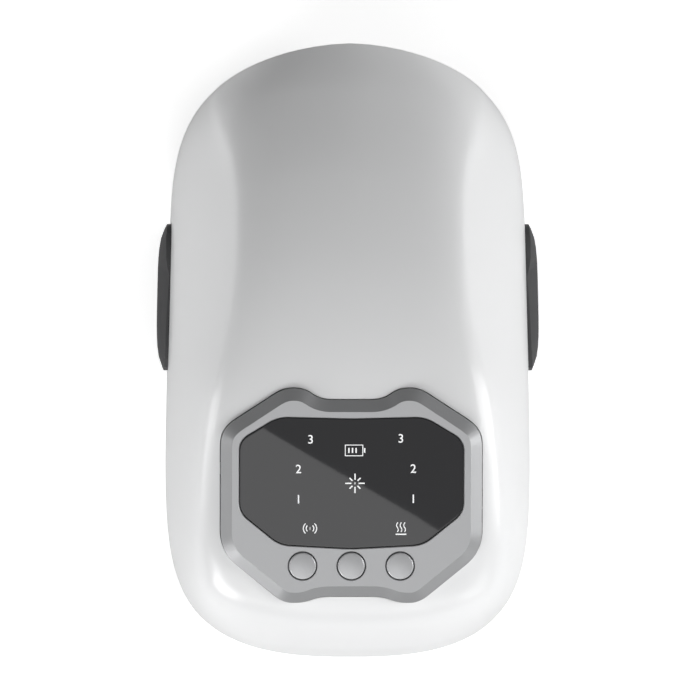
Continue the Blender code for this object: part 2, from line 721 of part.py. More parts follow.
def build_panel(hood):
    """The panel stands in its own tilted frame, whose origin lies on the hood's crown."""
    seat = bpy.data.objects.new("panel_frame", None)
    PARTS.objects.link(seat)
    seat.location = (0, PANEL_PLACE, crown_height(hood_point, 0, PANEL_PLACE))
    seat.rotation_euler = (PANEL_TILT, 0, 0)

    def panel_outline(outset):
        return rounded_outline(panel_points(PANEL_OUTLINE_SHARES), PANEL_CORNER, outset)

    def window_outline(outset):
        return rounded_outline(panel_points(WINDOW_OUTLINE_SHARES), WINDOW_CORNER, outset)

    outline = panel_outline(0)
    window = window_outline(0)
    inner = panel_outline(-PANEL_WALL)
    pieces = []

    seat_hole = panel_outline(FIT)
    reach = PANEL_SKIRT + OVERRUN
    hole = stacked("panel_hole", [(seat_hole, -reach), (seat_hole, reach)], None, CUTTERS)
    pieces.append(hole)
    boolean(hood, hole)

    face = panel_outline(-PANEL_CHAMFER)
    edge = panel_outline(-PANEL_CHAMFER + PANEL_EDGE)
    bezel = stacked(
        "control_panel",
        [(outline, -PANEL_SKIRT), (outline, 0), (edge, PANEL_PROUD - PANEL_EDGE), (face, PANEL_PROUD)],
        SILVER,
    )
    pieces.append(bezel)
    under = PANEL_PROUD - PANEL_FACE
    pocket = stacked("panel_pocket", [(inner, -PANEL_SKIRT - OVERRUN), (inner, under)], None, CUTTERS)
    window_floor = PANEL_PROUD - WINDOW_SUNK - WINDOW_THICK - FIT
    window_seat = stacked(
        "window_seat",
        [(window_outline(FIT), window_floor), (window_outline(FIT), reach)],
        None, CUTTERS,
    )
    opening = window_outline(-WINDOW_LEDGE)
    window_hole = stacked("window_hole", [(opening, -reach), (opening, reach)], None, CUTTERS)
    for cutter in (pocket, window_seat, window_hole):
        pieces.append(cutter)
        boolean(bezel, cutter)
    glass = stacked(
        "display_window",
        [(window, window_floor + FIT), (window, PANEL_PROUD - WINDOW_SUNK - PANEL_EDGE),
         (window_outline(-PANEL_EDGE), PANEL_PROUD - WINDOW_SUNK)],
        SMOKE,
    )
    pieces.append(glass)

    flange_top = under - FIT
    flange_low = flange_top - BUTTON_FLANGE_THICK
    stem_low = flange_low - BUTTON_STEM
    plunger_top = stem_low - BUTTON_TRAVEL - FIT / 3
    board_top = plunger_top - SWITCH_PLUNGER - SWITCH_HEIGHT - FIT
    board_outline = panel_outline(-PANEL_WALL - FIT)
    board = stacked(
        "display_board", [(board_outline, board_top - BOARD_THICK), (board_outline, board_top)], BOARD
    )
    pieces.append(board)
    guide_outline = window_outline(-GUIDE_INSET)
    pieces.append(stacked(
        "light_guide", [(guide_outline, board_top + FIT), (guide_outline, under - FIT)], CLEAR
    ))
    cap_top = PANEL_PROUD + BUTTON_PROUD
    for place, name in zip((-1, 0, 1), ("massage", "power", "heat")):
        x = place * BUTTON_PITCH
        bore_radius = BUTTON_RADIUS + BUTTON_GAP
        bore = turned(name + "_bore", [(bore_radius, reach), (bore_radius, -reach)], None, CUTTERS)
        bore.location = (x, BUTTON_ROW, 0)
        boolean(bezel, bore)
        pieces.append(bore)
        button = turned(
            name + "_button",
            [(BUTTON_RADIUS * 0.35, cap_top), (BUTTON_RADIUS * 0.7, cap_top - BUTTON_CROWN * 0.3),
             (BUTTON_RADIUS - BUTTON_EDGE, cap_top - BUTTON_CROWN),
             (BUTTON_RADIUS, cap_top - BUTTON_CROWN - BUTTON_EDGE), (BUTTON_RADIUS, flange_top),
             (BUTTON_FLANGE_RADIUS, flange_top), (BUTTON_FLANGE_RADIUS, flange_low),
             (BUTTON_STEM_RADIUS, flange_low), (BUTTON_STEM_RADIUS, stem_low)],
            SILVER,
        )
        button.location = (x, BUTTON_ROW, 0)
        pieces.append(button)
        half = SWITCH_SIDE / 2
        body_top = board_top + FIT + SWITCH_HEIGHT
        switch = box(
            name + "_switch", (x - half, BUTTON_ROW - half, board_top + FIT),
            (x + half, BUTTON_ROW + half, body_top), BLACK,
        )
        plunger = turned(
            name + "_plunger",
            [(SWITCH_PLUNGER_RADIUS, plunger_top), (SWITCH_PLUNGER_RADIUS, body_top - SWITCH_PLUNGER)],
            None, CUTTERS, SMALL_SIDES,
        )
        plunger.location = (x, BUTTON_ROW, 0)
        boolean(switch, plunger, "UNION")
        pieces += [switch, plunger]
    for piece in pieces:
        piece.parent = seat
    return seat


def build_fastening(hood, arch):
    """Bosses under the hood, posts on the arch and a screw up through each pair."""
    trim_hood = hood_volume("hood_volume", SHELL_WALL / 2)
    trim_knee = knee_volume("knee_volume", ARCH_WALL / 2)
    trim_hood.hide_render = True
    trim_knee.hide_render = True
    for index, (across_share, along_share) in enumerate(SCREW_PLACE_SHARES, 1):
        y = along_share * HALF_LENGTH
        x = across_share * (SHIN_WIDTH if y < 0 else THIGH_WIDTH) / 2
        meet = crown_height(arch_point, x, y) + POST_RISE
        roof = meet - POST_ROOF
        boss = turned(
            f"boss_{index}", [(BOSS_RADIUS, SHELL_HEIGHT), (BOSS_RADIUS, meet + FIT)], None, CUTTERS
        )
        boss.location = (x, y, 0)
        boolean(boss, trim_hood, "INTERSECT")
        boolean(hood, boss, "UNION")
        post = turned(
            f"post_{index}", [(POST_RADIUS, meet), (POST_RADIUS, meet - 3 * POST_RISE)], None, CUTTERS
        )
        post.location = (x, y, 0)
        boolean(post, trim_knee)
        boolean(arch, post, "UNION")
        shank = SCREW_RADIUS + FIT
        pilot = turned(
            f"pilot_{index}",
            [(shank, roof - SCREW_HEAD + SCREW_LENGTH), (shank, roof - OVERRUN)],
            None, CUTTERS, SMALL_SIDES,
        )
        pilot.location = (x, y, 0)
        boolean(hood, pilot)
        boolean(arch, pilot)
        well = turned(
            f"well_{index}",
            [(SCREW_HEAD_RADIUS + FIT, roof), (SCREW_HEAD_RADIUS + FIT, meet - 3 * POST_RISE)],
            None, CUTTERS, SMALL_SIDES,
        )
        well.location = (x, y, 0)
        boolean(arch, well)
        head_top = roof - FIT
        screw = turned(
            f"shell_screw_{index}",
            [(SCREW_RADIUS, head_top + SCREW_LENGTH - SCREW_HEAD - 2 * FIT), (SCREW_RADIUS, head_top),
             (SCREW_HEAD_RADIUS, head_top), (SCREW_HEAD_RADIUS, head_top - SCREW_HEAD),
             (SCREW_SOCKET_RADIUS, head_top - SCREW_HEAD),
             (SCREW_SOCKET_RADIUS, head_top - SCREW_HEAD + SCREW_SOCKET)],
            STEEL, PARTS, SMALL_SIDES,
        )
        screw.location = (x, y, 0)
    return trim_knee


def build_cells():
    """Two cells side by side in an open tray, over the crown of the arch."""
    floor_low = ARCH_CROWN + FIT
    floor_top = floor_low + TRAY_FLOOR
    middle = floor_top + FIT + CELL_RADIUS
    half_width = CELL_PITCH / 2 + CELL_RADIUS + FIT + TRAY_WALL
    tray = box(
        "battery_tray", (-half_width, CELL_MIDDLE - TRAY_HALF_LENGTH, floor_low),
        (half_width, CELL_MIDDLE + TRAY_HALF_LENGTH, floor_low + TRAY_DEPTH), BLACK, PARTS,
        TRAY_WALL / 3, 1,
    )
    for side, name in ((-1, "left"), (1, "right")):
        x = side * CELL_PITCH / 2
        reach = CELL_LENGTH / 2 + CELL_CAP + FIT
        hollow = turned(
            f"cell_bed_{name}", [(CELL_RADIUS + FIT, reach), (CELL_RADIUS + FIT, -reach)], None, CUTTERS
        )
        hollow.rotation_euler = (math.pi / 2, 0, 0)
        hollow.location = (x, CELL_MIDDLE, middle)
        boolean(tray, hollow)
        half = CELL_LENGTH / 2
        cell = turned(
            f"battery_{name}",
            [(CELL_CAP_RADIUS, half + CELL_CAP), (CELL_CAP_RADIUS, half),
             (CELL_RADIUS - CELL_RIM, half), (CELL_RADIUS, half - CELL_RIM),
             (CELL_RADIUS, CELL_RIM - half), (CELL_RADIUS - CELL_RIM, -half)],
            CELL,
        )
        cell.rotation_euler = (math.pi / 2 * side, 0, 0)
        cell.location = (x, CELL_MIDDLE, middle)


def pedestal(name, arch, trim, low, high):
    """Block that stands on the arch's wall up to a height."""
    block = box(name, low, high, None, CUTTERS)
    boolean(block, trim)
    boolean(arch, block, "UNION")
    return block


def build_power_board(arch, trim):
    half_width = POWER_BOARD_WIDTH / 2
    half_length = POWER_BOARD_LENGTH / 2
    level = crown_height(arch_point, 0, POWER_BOARD_MIDDLE) + POWER_BOARD_LIFT
    for side in (-1, 1):
        x = side * (half_width - POST_RADIUS)
        pedestal(
            f"board_rest_{side}", arch, trim,
            (x - CRADLE_WALL, POWER_BOARD_MIDDLE - half_length + CRADLE_WALL, level - 2 * POST_RISE),
            (x + CRADLE_WALL, POWER_BOARD_MIDDLE + half_length - CRADLE_WALL, level - FIT),
        )
    board = box(
        "power_board", (-half_width, POWER_BOARD_MIDDLE - half_length, level),
        (half_width, POWER_BOARD_MIDDLE + half_length, level + BOARD_THICK), BOARD,
    )
    half_chip = CHIP_LENGTH_SHARE * POWER_BOARD_LENGTH / 2
    chip = box(
        "power_chip",
        (-CHIP_PLACE + CHIP_SIDE / 2, POWER_BOARD_MIDDLE - half_chip, level + BOARD_THICK / 2),
        (-CHIP_PLACE + CHIP_SIDE * 1.5, POWER_BOARD_MIDDLE + half_chip, level + BOARD_THICK + CHIP_HEIGHT),
        None, CUTTERS,
    )
    boolean(board, chip, "UNION")
    coil_radius = COIL_RADIUS_SHARE * POWER_BOARD_LENGTH
    coil = turned(
        "power_coil",
        [(coil_radius, level + BOARD_THICK + COIL_HEIGHT), (coil_radius, level + BOARD_THICK / 2)],
        None, CUTTERS,
    )
    coil.location = (COIL_PLACE, POWER_BOARD_MIDDLE, 0)
    boolean(board, coil, "UNION")


def build_air_system(arch, trim):
    """Pump, valve block and the three hoses that feed the bags."""
    axis_height = ARCH_CROWN + FIT + CRADLE_WALL + PUMP_HEAD_SIDE / 2
    half = PUMP_HEAD_SIDE / 2
    head_start = PUMP_LEFT_END + PUMP_MOTOR_LENGTH + FIT
    head_end = head_start + PUMP_HEAD_LENGTH
    pedestal(
        "pump_rest", arch, trim,
        (PUMP_LEFT_END + CRADLE_WALL, PUMP_MIDDLE - half + CRADLE_WALL, ARCH_CROWN - 3 * POST_RISE),
        (head_end - CRADLE_WALL, PUMP_MIDDLE + half - CRADLE_WALL, axis_height - half - FIT),
    )
    motor = turned(
        "air_pump_motor",
        [(NIPPLE_RADIUS * 2, PUMP_MOTOR_LENGTH / 2), (PUMP_RADIUS - PUMP_FACET / 2, PUMP_MOTOR_LENGTH / 2),
         (PUMP_RADIUS, PUMP_MOTOR_LENGTH / 2 - PUMP_FACET / 2),
         (PUMP_RADIUS, PUMP_FACET / 2 - PUMP_MOTOR_LENGTH / 2),
         (PUMP_RADIUS - PUMP_FACET / 2, -PUMP_MOTOR_LENGTH / 2)],
        STEEL,
    )
    motor.rotation_euler = (0, math.pi / 2, 0)
    motor.location = (PUMP_LEFT_END + PUMP_MOTOR_LENGTH / 2, PUMP_MIDDLE, axis_height)
    head = box(
        "air_pump_head", (head_start, PUMP_MIDDLE - half, axis_height - half),
        (head_end, PUMP_MIDDLE + half, axis_height + half), BLACK, PARTS, PUMP_FACET, 2,
    )
    outlet = side_nipple("pump_nipple", (head_end, PUMP_MIDDLE, axis_height), (1, 0, 0))
    boolean(head, outlet, "UNION")

    valve_half = VALVE_SIDE / 2
    valve_end = VALVE_LEFT_END + VALVE_LENGTH
    pedestal(
        "valve_rest", arch, trim,
        (VALVE_LEFT_END + CRADLE_WALL, PUMP_MIDDLE - valve_half + CRADLE_WALL, ARCH_CROWN - 4 * POST_RISE),
        (valve_end - CRADLE_WALL, PUMP_MIDDLE + valve_half - CRADLE_WALL, axis_height - valve_half - FIT),
    )
    valve = box(
        "air_valve", (VALVE_LEFT_END, PUMP_MIDDLE - valve_half, axis_height - valve_half),
        (valve_end, PUMP_MIDDLE + valve_half, axis_height + valve_half), BLACK, PARTS, PUMP_FACET / 3, 1,
    )
    back = PUMP_MIDDLE + valve_half
    middle = VALVE_LEFT_END + VALVE_LENGTH / 2
    ports = (
        ((VALVE_LEFT_END, PUMP_MIDDLE, axis_height), (-1, 0, 0)),
        ((valve_end, PUMP_MIDDLE, axis_height), (1, 0, 0)),
        ((middle, back, axis_height), (0, 1, 0)),
    )
    for index, (place, way) in enumerate(ports):
        boolean(valve, side_nipple(f"valve_nipple_{index}", place, way), "UNION")

    bore = HOSE_RADIUS - HOSE_WALL
    start = Vector((head_end + FIT, PUMP_MIDDLE, axis_height))
    stop = Vector((VALVE_LEFT_END - FIT, PUMP_MIDDLE, axis_height))
    tube("pump_hose", (start, start.lerp(stop, 1 / 3), start.lerp(stop, 2 / 3), stop), HOSE_RADIUS, HOSE,
         PARTS, bore)
    for side, name in ((-1, "left"), (1, "right")):
        across = side * INLET_ACROSS_SHARE
        seat = arch_point(across, INLET_ALONG_SHARE)
        outward = normal_at(arch_point, across, INLET_ALONG_SHARE)
        hole = turned(
            f"hose_hole_{name}",
            [(HOSE_RADIUS + FIT, OVERRUN), (HOSE_RADIUS + FIT, -ARCH_WALL - OVERRUN / 4)],
            None, CUTTERS, SMALL_SIDES,
        )
        hole.rotation_euler = outward.to_track_quat("Z", "Y").to_euler()
        hole.location = seat
        boolean(arch, hole)
        end = seat - outward * (ARCH_WALL - FIT)
        above = seat + outward * HOSE_RADIUS * 1.6
        lead = seat + Vector((side * HOSE_RADIUS * 2.6, -HOSE_RADIUS * 2, HOSE_RADIUS * 5))
        if side > 0:
            first = Vector((valve_end + FIT, PUMP_MIDDLE, axis_height))
            straight = first + Vector((NIPPLE_LENGTH * 1.4, 0, 0))
            route = (first, straight, lead, above, end)
        else:
            first = Vector((middle, back + FIT, axis_height))
            straight = first + Vector((0, NIPPLE_LENGTH * 1.4, 0))
            turn = Vector((0, back + HOSE_RADIUS * 5.2, axis_height))
            route = (first, straight, turn, lead, above, end)
        tube(f"air_hose_{name}", route, HOSE_RADIUS, HOSE, PARTS, bore)


def side_nipple(name, place, way):
    """Short spigot that a hose is pushed on to."""
    nipple = turned(
        name, [(NIPPLE_RADIUS, NIPPLE_LENGTH), (NIPPLE_RADIUS, -NIPPLE_LENGTH)], None, CUTTERS, SMALL_SIDES
    )
    nipple.rotation_euler = Vector(way).to_track_quat("Z", "Y").to_euler()
    nipple.location = place
    return nipple


def pad_shares(low, high, step_share):
    """Shares at whole steps of the pad grid, so that pads that lie on each other share their faces."""
    return [step_share * step for step in range(low, high + 1)]


def bag_puff(across, along):
    """Share of an air bag's full puff at a place, nothing outside the bag."""
    low, high = (PAD_STEP_SHARE * column for column in BAG_COLUMNS)
    start, end = (PAD_ALONG_STEP_SHARE * row - LINER_ALONG_SHARE for row in BAG_ROWS)
    u = (2 * abs(across) - low - high) / (high - low)
    v = (2 * along - start - end) / (end - start)
    if abs(u) >= 1 or abs(v) >= 1:
        return 0
    return (1 - u * u) ** 0.8 * (1 - v ** 4) ** 0.8


def build_soft_side(arch):
    """Heating film, air bags and the padded liner, from the arch towards the knee."""
    film_seat = ARCH_WALL + FIT
    loft_between(
        "heating_film", sunk(arch_point, film_seat), sunk(arch_point, film_seat + FILM_THICK),
        [share for share in ARCH_ACROSS_SHARES if abs(share) < FILM_ACROSS_SHARE],
        [share for share in ARCH_ALONG_SHARES if FILM_LOW_SHARE < share < FILM_HIGH_SHARE], FILM,
    )
    rows = [share - LINER_ALONG_SHARE for share in pad_shares(*BAG_ROWS, PAD_ALONG_STEP_SHARE)]
    bag_seat = ARCH_WALL + BAG_SEAT
    for side, name in ((-1, "left"), (1, "right")):
        columns = sorted(side * share for share in pad_shares(*BAG_COLUMNS, PAD_STEP_SHARE))
        loft_between(
            f"airbag_{name}", sunk(arch_point, bag_seat),
            sunk(arch_point, lambda a, b: bag_seat + BAG_SEAM + BAG_PUFF * bag_puff(a, b)),
            columns, rows, BAG,
        )

    liner_seat = bag_seat + BAG_SEAM + FIT

    def back(across, along):
        return liner_seat + BAG_PUFF * bag_puff(across, along)

    def front(across, along):
        out = min(abs(across / LINER_ACROSS_SHARE), 1)
        far = min(abs(along / LINER_ALONG_SHARE), 1)
        edge = (1 - out ** 8) * (1 - far ** 8)
        turn = math.pi * LINER_CHANNELS * (along / LINER_ALONG_SHARE + 1) / 2
        pad = LINER_PAD - LINER_CHANNEL * (1 - abs(math.sin(turn)) ** 0.5)
        return back(across, along) + LINER_EDGE + pad * edge ** 0.5

    liner = loft_between(
        "knee_liner", sunk(arch_point, back), sunk(arch_point, front),
        pad_shares(-LINER_COLUMNS, LINER_COLUMNS, PAD_STEP_SHARE),
        [share - LINER_ALONG_SHARE for share in pad_shares(0, LINER_ROWS, PAD_ALONG_STEP_SHARE)], CLOTH,
    )
    lens_way = turned(
        "lens_way",
        [(LENS_RADIUS + FIT, ARCH_CROWN + OVERRUN), (LENS_RADIUS + FIT, ARCH_CROWN - 2 * OVERRUN)],
        None, CUTTERS,
    )
    lens_way.location = (0, LENS_MIDDLE, 0)
    boolean(liner, lens_way)
    boolean(arch, lens_way)


def build_lens():
    """Lens through the arch and liner, held by a board with a ring of light emitters."""
    low = ARCH_CROWN - ARCH_WALL - LENS_THICK
    lens = turned(
        "light_lens",
        [(LENS_RADIUS + LENS_FLANGE, ARCH_CROWN + FIT + LENS_THICK),
         (LENS_RADIUS + LENS_FLANGE, ARCH_CROWN + FIT), (LENS_RADIUS, ARCH_CROWN + FIT), (LENS_RADIUS, low),
         (LENS_RADIUS * 0.7, low - LENS_DOME * 0.7), (LENS_RADIUS * 0.3, low - LENS_DOME)],
        LENS,
    )
    lens.location = (0, LENS_MIDDLE, 0)
    level = ARCH_CROWN + FIT + LENS_THICK + FIT + LED_HEIGHT
    board = turned(
        "light_board", [(LENS_RADIUS, level + BOARD_THICK), (LENS_RADIUS, level)], BOARD
    )
    board.location = (0, LENS_MIDDLE, 0)
    for index in range(LED_COUNT):
        turn = 2 * math.pi * index / LED_COUNT
        led = turned(
            f"light_emitter_{index}",
            [(LED_RADIUS, level + BOARD_THICK / 2), (LED_RADIUS, level - LED_HEIGHT)],
            None, CUTTERS, SMALL_SIDES,
        )
        led.location = (LED_RING * math.cos(turn), LENS_MIDDLE + LED_RING * math.sin(turn), 0)
        boolean(board, led, "UNION")


def build_vibration(arch, trim):
    """A motor in a cradle at each shoulder of the arch, with its weight on the shaft."""
    for side, name in ((-1, "left"), (1, "right")):
        x = side * MOTOR_ACROSS
        half = MOTOR_RADIUS + CRADLE_WALL
        cradle = pedestal(
            f"motor_cradle_{name}", arch, trim,
            (x - half, MOTOR_START + CRADLE_WALL, MOTOR_HEIGHT - 4 * POST_RISE),
            (x + half, MOTOR_START + MOTOR_LENGTH - CRADLE_WALL, MOTOR_HEIGHT),
        )
        bed_reach = MOTOR_LENGTH / 2 + FIT
        bed = turned(
            f"motor_bed_{name}", [(MOTOR_RADIUS + FIT, bed_reach), (MOTOR_RADIUS + FIT, -bed_reach)],
            None, CUTTERS,
        )
        middle = MOTOR_START + MOTOR_LENGTH / 2
        bed.rotation_euler = (-math.pi / 2, 0, 0)
        bed.location = (x, middle, MOTOR_HEIGHT)
        boolean(cradle, bed)
        top = MOTOR_LENGTH / 2
        motor = turned(
            f"vibration_motor_{name}",
            [(MOTOR_SHAFT_RADIUS, top + MOTOR_SHAFT), (MOTOR_SHAFT_RADIUS, top), (MOTOR_RADIUS, top),
             (MOTOR_RADIUS, -top)],
            STEEL,
        )
        motor.rotation_euler = (-math.pi / 2, 0, 0)
        motor.location = (x, middle, MOTOR_HEIGHT)
        outline = []
        for step in range(SMALL_SIDES + 1):
            turn = math.pi + math.pi * step / SMALL_SIDES
            outline.append(Vector((WEIGHT_RADIUS * math.cos(turn), WEIGHT_RADIUS * math.sin(turn))))
        neck = MOTOR_SHAFT_RADIUS * 2.4
        outline += [Vector(point) for point in ((neck, neck * 0.3), (neck * 0.7, neck))]
        outline += [Vector(point) for point in ((-neck * 0.7, neck), (-neck, neck * 0.3))]
        weight = stacked(f"vibration_weight_{name}", [(outline, 0), (outline, WEIGHT_THICK)], BRASS)
        weight.rotation_euler = (-math.pi / 2, 0, 0)
        weight.location = (x, MOTOR_START + MOTOR_LENGTH + WEIGHT_GAP, MOTOR_HEIGHT)
        shaft_way = turned(
            f"weight_bore_{name}",
            [(MOTOR_SHAFT_RADIUS + FIT / 3, OVERRUN), (MOTOR_SHAFT_RADIUS + FIT / 3, -OVERRUN)],
            None, CUTTERS,
        )
        shaft_way.rotation_euler = (-math.pi / 2, 0, 0)
        shaft_way.location = weight.location
        boolean(weight, shaft_way)


def build_port(hood):
    """Charging port in a slot through the right wall."""
    wall = outline_half(PORT_PLACE)
    half_width = PORT_WIDTH / 2
    half_tall = PORT_TALL / 2
    low = (wall - PORT_DEPTH, PORT_PLACE - half_width, PORT_HEIGHT - half_tall)
    high = (wall - SHELL_WALL / 3, PORT_PLACE + half_width, PORT_HEIGHT + half_tall)
    port = box("charging_port", low, high, STEEL, PARTS, half_tall * 0.6, 2)
    inner = Vector((0, PORT_WALL, PORT_WALL))
    mouth = box(
        "port_mouth", Vector(low) + inner + Vector((PORT_WALL * 3, 0, 0)),
        Vector(high) - inner + Vector((OVERRUN, 0, 0)), None, CUTTERS, half_tall * 0.5, 2,
    )
    boolean(port, mouth)
    tongue = box(
        "port_tongue",
        (low[0] + PORT_WALL, PORT_PLACE - half_width * 0.7, PORT_HEIGHT - PORT_TONGUE / 2),
        (high[0] - PORT_WALL * 2, PORT_PLACE + half_width * 0.7, PORT_HEIGHT + PORT_TONGUE / 2),
        None, CUTTERS,
    )
    boolean(port, tongue, "UNION")
    fit = Vector((0, FIT, FIT))
    slot = box(
        "port_slot", Vector(low) - fit, Vector(high) + fit + Vector((OVERRUN, 0, 0)), None, CUTTERS,
        half_tall * 0.6, 2,
    )
    boolean(hood, slot)


def build_strap(hood, arch):
    """Strap wings on the side walls, and a strap in two halves that overlap under the knee."""
    middle = (EAR_LOW + EAR_HIGH) / 2
    half_wide = (EAR_HIGH - EAR_LOW) / 2
    half_tall = (EAR_TOP - EAR_BOTTOM) / 2
    height = (EAR_TOP + EAR_BOTTOM) / 2
    reach = end_reach(1, 1)
    across_low = (HALF_LENGTH - EAR_TOP) / HALF_LENGTH

    def proud(across, along):
        point = hood_point(across, along)
        u = min(abs(point.z - height) / half_tall, 1)
        v = min(abs(point.y - middle) / half_wide, 1)
        swell = (1 - u ** EAR_ROUND_POWER) * (1 - v ** EAR_ROUND_POWER)
        return -(EAR_EDGE + (EAR_PROUD - EAR_EDGE) * swell ** 0.5)

    def ear_outline(outset, bottom):
        corners = [
            (half_wide + outset, bottom), (half_wide + outset, half_tall + outset),
            (-half_wide - outset, half_tall + outset), (-half_wide - outset, bottom),
        ]
        return rounded_outline(corners, EAR_CORNER)

    for side, name in ((-1, "left"), (1, "right")):
        across = sorted((side * across_low, side))
        ear = loft_between(
            f"strap_ear_{name}", sunk(hood_point, proud), sunk(hood_point, SHELL_WALL),
            even_shares(*across, EAR_STEPS),
            even_shares((EAR_LOW - OVERRUN) / reach, (EAR_HIGH + OVERRUN) / reach, 2 * EAR_STEPS), WING,
        )
        shapes = (
            ("ear_form", ear_outline(0, -half_tall), ear, "INTERSECT"),
            ("ear_way", ear_outline(FIT, -EAR_TOP - OVERRUN), hood, "DIFFERENCE"),
        )
        for form, outline, target, operation in shapes:
            prism = stacked(
                f"{form}_{name}", [(outline, OVERRUN), (outline, THIGH_WIDTH)], None, CUTTERS
            )
            prism.matrix_world = Matrix.Translation((0, middle, height)) @ Matrix(
                ((0, 0, side, 0), (1, 0, 0, 0), (0, 1, 0, 0), (0, 0, 0, 1))
            )
            boolean(target, prism, operation)

    wall = outline_half(middle)
    drop_x = wall - STRAP_TUCK
    tip_z = EAR_BOTTOM
    level = FIT + STRAP_THICK / 2
    upper = level + STRAP_THICK + PATCH_THICK + 2 * FIT
    half_overlap = STRAP_OVERLAP / 2

    def strap_path(side, final):
        bend = []
        for step in range(7):
            turn = math.pi / 2 * step / 6
            x = drop_x - STRAP_BEND + STRAP_BEND * math.cos(turn)
            z = level + STRAP_BEND - STRAP_BEND * math.sin(turn)
            bend.append((x, z))
        path = [(drop_x, tip_z - FIT)] + bend
        path.append((half_overlap + STRAP_RAMP, level))
        path.append((half_overlap, final))
        path.append((-half_overlap, final))
        return [(side * x, z) for x, z in path]

    for side, final, name in ((-1, level, "left"), (1, upper, "right")):
        shape = bmesh.new()
        path = strap_path(side, final)
        rows = [
            [shape.verts.new((x, y, z)) for x, z in path]
            for y in (middle - STRAP_WIDTH / 2, middle + STRAP_WIDTH / 2)
        ]
        for index in range(len(path) - 1):
            shape.faces.new((rows[0][index], rows[0][index + 1], rows[1][index + 1], rows[1][index]))
        band = finish_mesh(f"strap_{name}", shape, STRAP)
        thick = band.modifiers.new("thickness", "SOLIDIFY")
        thick.thickness = STRAP_THICK
        thick.offset = 0
        thick.use_even_offset = True
    patch_low = level + STRAP_THICK / 2 + FIT
    box(
        "hook_patch",
        (PATCH_INSET - half_overlap, middle - STRAP_WIDTH / 2 + PATCH_INSET, patch_low),
        (half_overlap - PATCH_INSET, middle + STRAP_WIDTH / 2 - PATCH_INSET, patch_low + PATCH_THICK),
        GRAPHITE,
    )
    half_notch = STRAP_WIDTH / 2 + NOTCH_SIDE
    notch = box(
        "strap_notch", (-THIGH_WIDTH, middle - half_notch, -OVERRUN),
        (THIGH_WIDTH, middle + half_notch, NOTCH_HEIGHT), None, CUTTERS,
    )
    boolean(arch, notch)


def build():
    hood, arch = build_shells()
    trim_knee = build_fastening(hood, arch)
    build_panel(hood)
    build_cells()
    build_power_board(arch, trim_knee)
    build_air_system(arch, trim_knee)
    build_vibration(arch, trim_knee)
    build_soft_side(arch)
    build_lens()
    build_port(hood)
    build_strap(hood, arch)
    bpy.context.view_layer.update()


build()
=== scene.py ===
# %% [markdown]
# A heated knee massager, seen from straight above. The frame is the imported model: every solid of the
# massager at its true place, in metres, with +Y towards the thigh end and +Z up out of the table.
# This lesson gives those solids their finishes, replaces the cloth parts with softer shapes, and adds
# the printed marks.

# %% Load the frame
import bisect
import math

import bmesh
import bpy
from mathutils import Matrix, Vector


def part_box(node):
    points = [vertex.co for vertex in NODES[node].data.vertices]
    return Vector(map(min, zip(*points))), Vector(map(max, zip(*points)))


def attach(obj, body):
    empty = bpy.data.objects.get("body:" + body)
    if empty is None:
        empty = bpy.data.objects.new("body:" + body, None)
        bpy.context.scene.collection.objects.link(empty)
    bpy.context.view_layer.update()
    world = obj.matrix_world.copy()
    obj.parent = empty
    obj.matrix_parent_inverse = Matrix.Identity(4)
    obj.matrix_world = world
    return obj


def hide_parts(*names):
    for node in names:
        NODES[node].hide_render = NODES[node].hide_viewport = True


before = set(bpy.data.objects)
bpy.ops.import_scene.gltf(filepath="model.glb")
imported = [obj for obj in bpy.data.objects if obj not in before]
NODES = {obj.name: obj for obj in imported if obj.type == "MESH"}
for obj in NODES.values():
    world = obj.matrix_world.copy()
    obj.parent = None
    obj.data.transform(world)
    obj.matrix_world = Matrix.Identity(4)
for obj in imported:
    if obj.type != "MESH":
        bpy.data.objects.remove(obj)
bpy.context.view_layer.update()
MM = 0.001

# %% [markdown]
# The photograph looks straight down with a long lens, so the outline and the panel have the same
# scale. A pixel of it is 0.391 mm. The camera hangs 8 m above the massager's upper half, and its
# lens is chosen so that the sensor sees exactly 700 of these pixels.

# The raised panel lies a little to the right of the middle of the outline and a little high, so
# the camera leans by less than one degree to the left and towards the shin end.

# %% Camera
PHOTO_PIXELS = 700
PIXEL = 0.391 * MM
CAMERA_RISE = 8.0
SCALE_HEIGHT = 85 * MM
SENSOR = 36.0

scene = bpy.context.scene
camera_data = bpy.data.cameras.new("camera")
camera_data.sensor_width = SENSOR
camera_data.lens = SENSOR * CAMERA_RISE / (PHOTO_PIXELS * PIXEL)
camera_data.clip_end = 3 * CAMERA_RISE
camera = bpy.data.objects.new("camera", camera_data)
scene.collection.objects.link(camera)
CAMERA_LEAN = math.radians(0.86)
camera_offset = CAMERA_RISE * math.tan(CAMERA_LEAN)
camera.location = (-camera_offset, -camera_offset, SCALE_HEIGHT + CAMERA_RISE)
camera.rotation_euler = (CAMERA_LEAN, -CAMERA_LEAN, 0)
scene.camera = camera
scene.view_settings.view_transform = "Standard"
print("lens", round(camera_data.lens, 1))


# %% [markdown]
# Every finish starts as a Principled shader. A small helper keeps its nodes short to write: it makes
# the material, sets the plain sockets, and hands back the node tree and the shader. Patterns read
# Object coordinates, because every piece has its place in its mesh.

# %% Helpers for finishes
def new_finish(name, color, roughness, **plain):
    material = bpy.data.materials.new(name)
    material.use_nodes = True
    tree = material.node_tree
    shader = tree.nodes["Principled BSDF"]
    shader.inputs["Base Color"].default_value = (*color, 1)
    shader.inputs["Roughness"].default_value = roughness
    material.diffuse_color = (*color, 1)
    for socket, value in plain.items():
        shader.inputs[socket.replace("_", " ")].default_value = value
    return material, tree, shader


def add_node(tree, kind, **values):
    node = tree.nodes.new(kind)
    for key, value in values.items():
        if hasattr(node, key):
            setattr(node, key, value)
        else:
            node.inputs[key.replace("_", " ")].default_value = value
    return node


